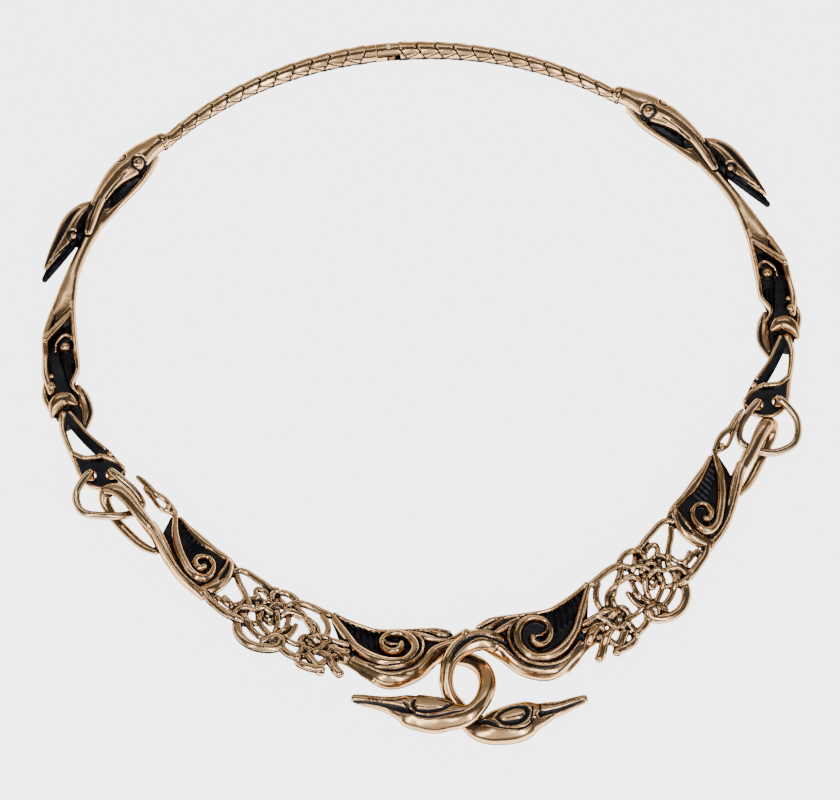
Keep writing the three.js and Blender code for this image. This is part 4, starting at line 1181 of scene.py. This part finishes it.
# %% The left neck and its bird
LEFT_NECK = [
    [12.9, -56.5, 3.2, 1.6, 1.4], [8.4, -57.1, 2.3, 1.6, 1.4], [4.7, -57.2, 2.0, 1.5, 1.3],
    [1.8, -57.7, 2.0, 1.5, 1.3], [-0.6, -58.8, 2.3, 1.5, 1.4], [-2.5, -60.9, 3.1, 1.55, 1.5],
    [-3.1, -63.9, 4.2, 1.6, 1.5], [-2.5, -66.6, 5.1, 1.6, 1.5], [-1.1, -69.0, 5.6, 1.55, 1.5],
]
LEFT_BIRD = [
    [0.9, -70.6, 5.6, 1.8, 1.5], [2.8, -70.9, 5.4, 2.3, 1.5], [4.6, -70.5, 5.0, 2.9, 1.7],
    [6.3, -70.0, 4.7, 3.5, 1.9], [8.1, -69.5, 4.5, 3.6, 2.0], [9.8, -68.9, 4.4, 3.5, 2.0],
    [11.2, -68.5, 4.4, 3.3, 1.9], [12.4, -67.8, 4.4, 2.8, 1.8], [14.2, -67.1, 4.4, 2.0, 1.5],
    [15.9, -66.5, 4.4, 1.5, 1.3], [17.7, -65.9, 4.4, 1.25, 1.15], [19.5, -65.3, 4.4, 1.1, 1.0],
    [21.4, -64.7, 4.5, 0.8, 0.8],
]
print("in plan the left neck is", length_of(LEFT_NECK), "mm long")
print("and its bird is", length_of(LEFT_BIRD), "mm long")

# %% [markdown]
# The eyes, the bills and the feathers behind them are fine cuts. They could be thin grooves in the
# bar's own section, but the lines wander over the head. So they are cut into the finished skin, like
# those of the arms. Each line is a list of places in plan with the half width of the cut there. The
# hollow in the band of the outer scroll is cut in the same way, and is measured on the panel.

# %% The lines cut into the birds
RIGHT_CUTS = [
    [[3.8, -71.4, 0.3], [4.6, -70.6, 0.4], [6.1, -69.9, 0.45], [8.0, -69.6, 0.45], [9.4, -70.2, 0.5],
     [9.5, -71.4, 0.5], [8.3, -72.5, 0.55], [6.5, -72.8, 0.65], [4.9, -72.5, 0.5], [3.8, -71.4, 0.3]],
    [[0.6, -71.8, 0.25], [1.8, -71.8, 0.45], [2.9, -72.5, 0.5], [4.2, -73.4, 0.25], [6.3, -73.9, 0.2],
     [8.3, -74.0, 0.2], [9.9, -73.2, 0.25], [10.6, -72.3, 0.2]],
    [[12.0, -71.5, 0.65], [13.7, -71.2, 0.5], [15.5, -70.8, 0.4], [17.5, -70.2, 0.3],
     [19.9, -69.6, 0.25]],
    [[10.7, -69.8, 0.2], [10.5, -71.1, 0.22], [10.0, -72.6, 0.25]],
    [[12.0, -69.6, 0.2], [12.0, -71.0, 0.22], [11.9, -72.1, 0.2]],
    [[12.1, -69.4, 0.18], [13.9, -69.7, 0.18], [16.1, -69.4, 0.18], [18.4, -68.9, 0.18]],
    [[-3.1, -60.4, 0.25], [-2.2, -59.0, 0.45], [-0.7, -57.5, 0.6], [0.8, -56.6, 0.55],
     [2.7, -56.3, 0.35], [4.8, -56.9, 0.3], [7.1, -57.6, 0.35]],
]
LEFT_CUTS = [
    [[10.5, -66.8, 0.3], [11.0, -67.8, 0.35], [10.6, -68.9, 0.4], [9.2, -69.4, 0.45],
     [7.4, -69.6, 0.45], [5.5, -69.3, 0.4], [4.0, -68.6, 0.25]],
    [[3.9, -68.3, 0.15], [5.1, -67.7, 0.15], [6.4, -67.2, 0.12]],
    [[11.8, -68.7, 0.25], [11.0, -69.6, 0.3], [9.8, -70.3, 0.32], [7.9, -70.7, 0.32], [5.7, -70.6, 0.3],
     [3.8, -70.4, 0.25], [2.0, -70.3, 0.15]],
    [[12.6, -67.3, 0.2], [12.0, -68.4, 0.25], [11.5, -69.2, 0.2]],
    [[11.7, -69.2, 0.45], [12.9, -68.6, 0.7], [14.3, -67.9, 0.65], [16.0, -67.1, 0.4],
     [18.3, -66.3, 0.3], [21.5, -65.5, 0.25]],
    [[11.9, -66.3, 0.18], [13.9, -66.4, 0.18], [16.4, -66.0, 0.18], [18.9, -65.4, 0.15]],
]
BAND_HOLLOW = [
    [10.0, -5.3, 0.2], [9.3, -4.3, 0.4], [8.8, -3.1, 0.5], [8.5, -1.9, 0.5], [8.4, -0.7, 0.25],
]
print(len(RIGHT_CUTS), "lines for the right bird and", len(LEFT_CUTS), "for the left one")

# %% Fusing and cutting the front panels
PANEL_VOXEL = 0.207
BAND_HEIGHT = 1.4


def front_panel(name, at, neck, bird, cuts):
    pieces = inner_scroll(at) + outer_scroll(at) + interlace(at)
    pieces.append(bar(plan_at, neck + bird, sides=28))
    panel = fuse(pieces, name, PANEL_VOXEL)
    engrave(panel, cuts + laid(at, [BAND_HOLLOW], BAND_HEIGHT))
    return panel


right_panel = front_panel("right_panel", right_at, RIGHT_NECK, RIGHT_BIRD, RIGHT_CUTS)
left_panel = front_panel("left_panel", left_at, LEFT_NECK, LEFT_BIRD, LEFT_CUTS)
print("each panel has", len(STRANDS), "strands and", INNER_HATCHES + OUTER_HATCHES, "hatch bars")

# %% [markdown]
# A loop of plain round wire goes through both holes of the end plate and round the hook of the panel.
# Real wire is bent round a peg and its ends are closed. A torus would be too regular for it, so the
# wire is a closed curve with a round bevel, led through the places where it has to pass, and then
# turned into a mesh. Wire stays brighter than a casting, and only its underside is darkened, as painted
# shade.

# %% The way of the wire
WIRE_RADIUS = 0.75
WIRE_ABOVE = 0.42
WIRE_BELOW = 0.45
THROAT = -0.8
THROAT_PLACES = [[32.4, 5.6, THROAT], [30.9, 1.6, THROAT], [31.4, -1.8, THROAT]]
OUTSIDE = ((68.4, -17.4), (67.6, -21.4))
INSIDE = (57.6, -17.6)


def wire_places(at):
    high = PLATE_TOP + WIRE_RADIUS + WIRE_ABOVE
    low = PLATE_BOTTOM - WIRE_RADIUS - WIRE_BELOW
    throat = at(np.array(THROAT_PLACES))
    down = [[*OUTER_HOLE, height] for height in (low, PLATE_BOTTOM, PLATE_TOP, high)]
    back = [[*INNER_HOLE, height] for height in (high, PLATE_TOP, PLATE_BOTTOM, low)]
    outside = [[*OUTSIDE[0], (high + throat[0, 2]) / 2], [*OUTSIDE[1], throat[0, 2]]]
    inside = [[*INSIDE, (high + throat[2, 2]) / 2]]
    return np.vstack([arm_at(np.array(down)), outside, throat, inside, arm_at(np.array(back))])


def closed_line(places, step):
    rows = np.vstack([places[-2:], places, places[:2]])
    line = smooth_line(np.column_stack([rows, np.zeros((len(rows), 2))]), step)[:, :3]
    gaps = np.linalg.norm(line - places[0], axis=1)
    first = int(np.argmin(gaps))
    last = len(line) - 1 - int(np.argmin(gaps[::-1]))
    return line[first:last]


print("the wire is", 2 * WIRE_RADIUS, "mm thick")

# %% Bending the wire loops
WIRE_STEP = 0.4
WIRE_DARK = 0.15
WIRE_UNDER_SHADE = 0.5


def wire(name, at):
    line = closed_line(wire_places(at), WIRE_STEP)
    curve = bpy.data.curves.new(name, "CURVE")
    curve.dimensions = "3D"
    curve.bevel_depth = WIRE_RADIUS
    curve.bevel_resolution = 5
    curve.use_fill_caps = True
    spline = curve.splines.new("POLY")
    spline.points.add(len(line) - 1)
    spline.points.foreach_set("co", np.column_stack([line, np.ones(len(line))]).ravel())
    spline.use_cyclic_u = True
    piece = bpy.data.objects.new(name, curve)
    bpy.context.collection.objects.link(piece)
    choose(piece)
    bpy.ops.object.convert(target="MESH")
    piece = bpy.context.object
    # painted shade: the underside of the wire is darkened
    under = np.clip((0.3 - normals_of(piece)[:, 2]) / 0.6, 0, 1)
    set_patina(piece, WIRE_DARK + WIRE_UNDER_SHADE * under)
    length = np.linalg.norm(np.diff(line, axis=0, append=line[:1]), axis=1).sum()
    print(name, "is bent from", round(float(length), 1), "mm of wire")
    return piece


right_wire = wire("right_wire", right_at)
left_wire = wire("left_wire", left_at)

# %% [markdown]
# All pieces are drawn in millimetres on the right side. The two arms of the real ring are nearly mirror
# images, so the left one is a copy. A piece could be moved, scaled and mirrored by its own transform,
# but a finished piece sits at the origin, with its place in its mesh. So the points themselves are moved
# to the place of the solids and scaled to metres. Mirroring turns faces inside out, and those of the
# left half are flipped back.

# %% Placing the pieces
def place(piece, mirrored=False):
    points = points_of(piece)
    if mirrored:
        points[:, 0] = -points[:, 0]
    points = points + SHIFT
    set_points(piece, points * 0.001)
    print(piece.name, "reaches from", points[:, 2].min().round(2), "to", points[:, 2].max().round(2), "mm")
    if mirrored:
        choose(piece)
        bpy.ops.object.mode_set(mode="EDIT")
        bpy.ops.mesh.select_all(action="SELECT")
        bpy.ops.mesh.flip_normals()
        bpy.ops.object.mode_set(mode="OBJECT")


left_arm = right_arm.copy()
left_arm.data = right_arm.data.copy()
left_arm.name = "left_arm"
bpy.context.collection.objects.link(left_arm)
for piece in (right_arm, right_rod, right_panel, right_wire, pin):
    place(piece)
for piece in (left_arm, left_rod, left_panel, left_wire):
    place(piece, mirrored=True)

# %% [markdown]
# Each drawn piece takes the place of a solid and rides on one half of the ring, so that it turns with
# that half when the hinge moves. The angle at which faces count as one surface is chosen so that round
# forms look smooth while the edges of the plate and of the holes stay sharp.

# %% What each piece replaces and rides on
SMOOTH_ANGLE = math.radians(50)
OWNERS = {
    "right_rear_arm": (right_arm, right_rod),
    "left_rear_arm": (left_arm, left_rod),
    "right_front_panel": (right_panel,),
    "left_front_panel": (left_panel,),
    "right_wire_loop": (right_wire,),
    "left_wire_loop": (left_wire,),
    "hinge_pin": (pin,),
}
for node, pieces in OWNERS.items():
    for piece in pieces:
        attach(piece, "left_half" if node.startswith("left") else "right_half")
        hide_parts(node)
        "wire_bronze" if "wire" in node or "pin" in node else "bronze"
        choose(piece)
        bpy.ops.object.shade_smooth_by_angle(angle=SMOOTH_ANGLE)
print(sum(len(pieces) for pieces in OWNERS.values()), "pieces replace", len(OWNERS), "solids")

# %% [markdown]
# A finish is a small network of nodes. It could be wired by hand, node by node, but then the sum that
# it works out can't be read any more. So a socket is wrapped in a class of its own, and the usual signs
# for plus, minus and times add the nodes. Any other node comes from one method.

# %% Formulas made of nodes
class Value:
    def __init__(self, finish, socket):
        self.finish = finish
        self.socket = socket

    def math(self, operation, other):
        return self.finish.node("ShaderNodeMath", 0, {"operation": operation}, {0: self, 1: other})

    def __add__(self, other):
        return self.math("ADD", other)

    def __sub__(self, other):
        return self.math("SUBTRACT", other)

    def __rsub__(self, other):
        return (self * -1.0) + other

    def __mul__(self, other):
        return self.math("MULTIPLY", other)

    __radd__ = __add__
    __rmul__ = __mul__

    def smooth(self, low, high):
        settings = {"interpolation_type": "SMOOTHSTEP"}
        sockets = {"Value": self, "From Min": low, "From Max": high}
        return self.finish.node("ShaderNodeMapRange", "Result", settings, sockets)


class Finish:
    def __init__(self, name):
        self.material = bpy.data.materials.new(name)
        self.material.use_nodes = True
        self.tree = self.material.node_tree
        self.shader = self.tree.nodes["Principled BSDF"]

    def feed(self, node, sockets):
        for name, value in sockets.items():
            if isinstance(value, Value):
                self.tree.links.new(value.socket, node.inputs[name])
            else:
                node.inputs[name].default_value = value

    def node(self, kind, output, settings, sockets):
        node = self.tree.nodes.new(kind)
        for name, setting in settings.items():
            setattr(node, name, setting)
        self.feed(node, sockets)
        return Value(self, node.outputs[output])

    def noise(self, place, scale, detail):
        sockets = {"Vector": place, "Scale": scale, "Detail": detail}
        return self.node("ShaderNodeTexNoise", "Fac", {}, sockets)

    def mix(self, share, first, second):
        first_colour, second_colour, mixed = 6, 7, 2
        sockets = {"Factor": share, first_colour: first, second_colour: second}
        return self.node("ShaderNodeMix", mixed, {"data_type": "RGBA"}, sockets)


print("a finish can be asked for", [name for name in vars(Finish) if not name.startswith("_")])

# %% [markdown]
# Worn bronze is a warm, slightly rosy gold where hands polish it, and nearly black, with a cold blue
# tinge, where they cannot. Two finishes could be painted on separate faces, but the edge between them is
# never sharp. So the patina number of each point, patina in the hollows and painted shade on
# the lower sides, mixes the two, and a little fine noise breaks the edge.
# A broad noise drifts the gold towards olive. Dark bronze is rougher, and its grain stands out more. The
# wire has the same finish in a paler metal.

# %% The bronze
EDGE_TINT = (0.16, 0.1, 0.07, 1.0)
BLACK = (0.016, 0.015, 0.018, 1.0)
SLATE = (0.034, 0.033, 0.039, 1.0)
FINE_SCALE = 1500.0
BROAD_SCALE = 260.0
GRAIN_HEIGHT = 0.00012


def bronze(name, gold, olive):
    finish = Finish(name)
    place = finish.node("ShaderNodeTexCoord", "Object", {}, {})
    patina = finish.node("ShaderNodeAttribute", "Fac", {"attribute_name": "patina"}, {})
    fine = finish.noise(place, FINE_SCALE, 4.0)
    broad = finish.noise(place, BROAD_SCALE, 3.0)
    # both the patina and the painted shade turn the gold towards the dark colour here
    dark = (patina + (fine - 0.5) * 0.28).smooth(0.32, 0.68)
    metal = finish.mix(broad.smooth(0.35, 0.65), gold, olive)
    tarnish_and_shade = finish.mix(broad.smooth(0.3, 0.7), BLACK, SLATE)
    grain = {"Height": fine * (0.25 + dark), "Strength": 0.35, "Distance": GRAIN_HEIGHT}
    finish.feed(finish.shader, {
        "Base Color": finish.mix(dark, metal, tarnish_and_shade),
        "Roughness": 0.2 + (broad - 0.5) * 0.1 + dark * 0.22,
        "Normal": finish.node("ShaderNodeBump", "Normal", {}, grain),
        "Metallic": 1.0,
        "Specular Tint": EDGE_TINT,
    })
    print(name, "has", len(finish.tree.nodes), "nodes")
    return finish.material


worn = bronze("worn bronze", (0.77, 0.46, 0.235, 1.0), (0.55, 0.33, 0.155, 1.0))
drawn_wire = bronze("drawn wire bronze", (0.74, 0.49, 0.28, 1.0), (0.58, 0.39, 0.21, 1.0))
for node, pieces in OWNERS.items():
    for piece in pieces:
        piece.data.materials.clear()
        piece.data.materials.append(drawn_wire if "wire" in node or "pin" in node else worn)

# %% [markdown]
# The ring lies on a pale sheet with hardly any shadow, as if the sheet were lit from below. Many lamps
# from above would also brighten the sheet, but they would wash out the metal. So the sheet itself glows
# a little. It lies at the lowest point of the pieces, so that none of them floats or sinks in.

# %% The floor
FLOOR_SIZE = 4.0
FLOOR_HEIGHT = min(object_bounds()[0][2], 0.0)

choose()
bpy.ops.mesh.primitive_plane_add(size=FLOOR_SIZE, location=(0, 0, FLOOR_HEIGHT))
floor = bpy.context.object
floor.name = "floor"
paper = Finish("white paper")
paper.feed(paper.shader, {
    "Base Color": (0.3, 0.3, 0.3, 1.0),
    "Roughness": 0.9,
    "Emission Color": (1.0, 1.0, 1.0, 1.0),
    "Emission Strength": 4.2,
})
floor.data.materials.append(paper.material)
print("the floor lies at", round(1000 * FLOOR_HEIGHT, 2), "mm")

# %% [markdown]
# A polished thing shows the room around it more than itself. A single big panel would turn the metal
# flat and milky. The room here is dim, with wide soft panels for the broad sheen and three narrow strips
# that draw bright streaks along the ropes and rims. Each panel faces the ring, and its power is worked
# out from how bright it should look, so that its size can be changed without changing its brightness.

# %% The lights
PANELS_OF_LIGHT = {
    "front panel of light": (0, 46, 1.1, (1.7, 0.78), 1.05),
    "right strip of light": (28, 48, 1.0, (0.12, 0.9), 13.0),
    "left strip of light": (-42, 52, 1.0, (0.12, 0.9), 11.0),
    "high strip of light": (180, 56, 1.1, (1.4, 0.07), 5.0),
    "back panel of light": (180, 36, 1.2, (2.0, 1.2), 0.36),
    "left panel of light": (-90, 20, 1.2, (0.8, 0.4), 1.2),
    "right panel of light": (90, 20, 1.2, (0.8, 0.4), 1.2),
}
ROOM_COLOUR = (0.9, 0.95, 1.0, 1.0)
ROOM_STRENGTH = 0.09


def direction(azimuth, elevation):
    x = math.sin(azimuth) * math.cos(elevation)
    y = -math.cos(azimuth) * math.cos(elevation)
    return np.array([x, y, math.sin(elevation)])


def panel_of_light(name, azimuth, elevation, distance, size, radiance):
    turn, rise = math.radians(azimuth), math.radians(elevation)
    light = bpy.data.lights.new(name, "AREA")
    light.shape = "RECTANGLE"
    light.size, light.size_y = size
    light.energy = math.pi * size[0] * size[1] * radiance
    lamp = bpy.data.objects.new(name, light)
    bpy.context.collection.objects.link(lamp)
    lamp.location = tuple(distance * direction(turn, rise))
    lamp.rotation_euler = (math.pi / 2 - rise, 0, turn)
    print(name, "has", round(light.energy, 2), "watts")


for name, settings in PANELS_OF_LIGHT.items():
    panel_of_light(name, *settings)
room = bpy.data.worlds.new("room")
bpy.context.scene.world = room
room.use_nodes = True
room.node_tree.nodes["Background"].inputs["Color"].default_value = ROOM_COLOUR
room.node_tree.nodes["Background"].inputs["Strength"].default_value = ROOM_STRENGTH

# %% [markdown]
# The ring is seen from well above and a little from the left, with a long lens, so that the near birds
# aren't much larger than the far hinge. The camera could be turned towards the ring by a constraint.
# Its place is worked out from the angles instead, so that it looks at one named point of the ring.

# %% The camera
TARGET = np.array([-0.00216, -0.00715, 0.00495])
AZIMUTH = math.radians(-6.9)
ELEVATION = math.radians(62.0)
DISTANCE = 0.65
FOCAL_LENGTH = 146.8
SENSOR_WIDTH = 36.0

lens = bpy.data.cameras.new("camera")
lens.lens = FOCAL_LENGTH
lens.sensor_width = SENSOR_WIDTH
camera = bpy.data.objects.new("camera", lens)
bpy.context.collection.objects.link(camera)
camera.location = tuple(TARGET + DISTANCE * direction(AZIMUTH, ELEVATION))
camera.rotation_euler = (math.pi / 2 - ELEVATION, 0, AZIMUTH)
bpy.context.scene.camera = camera
print("the camera stands", round(1000 * camera.location.z), "mm above the floor")
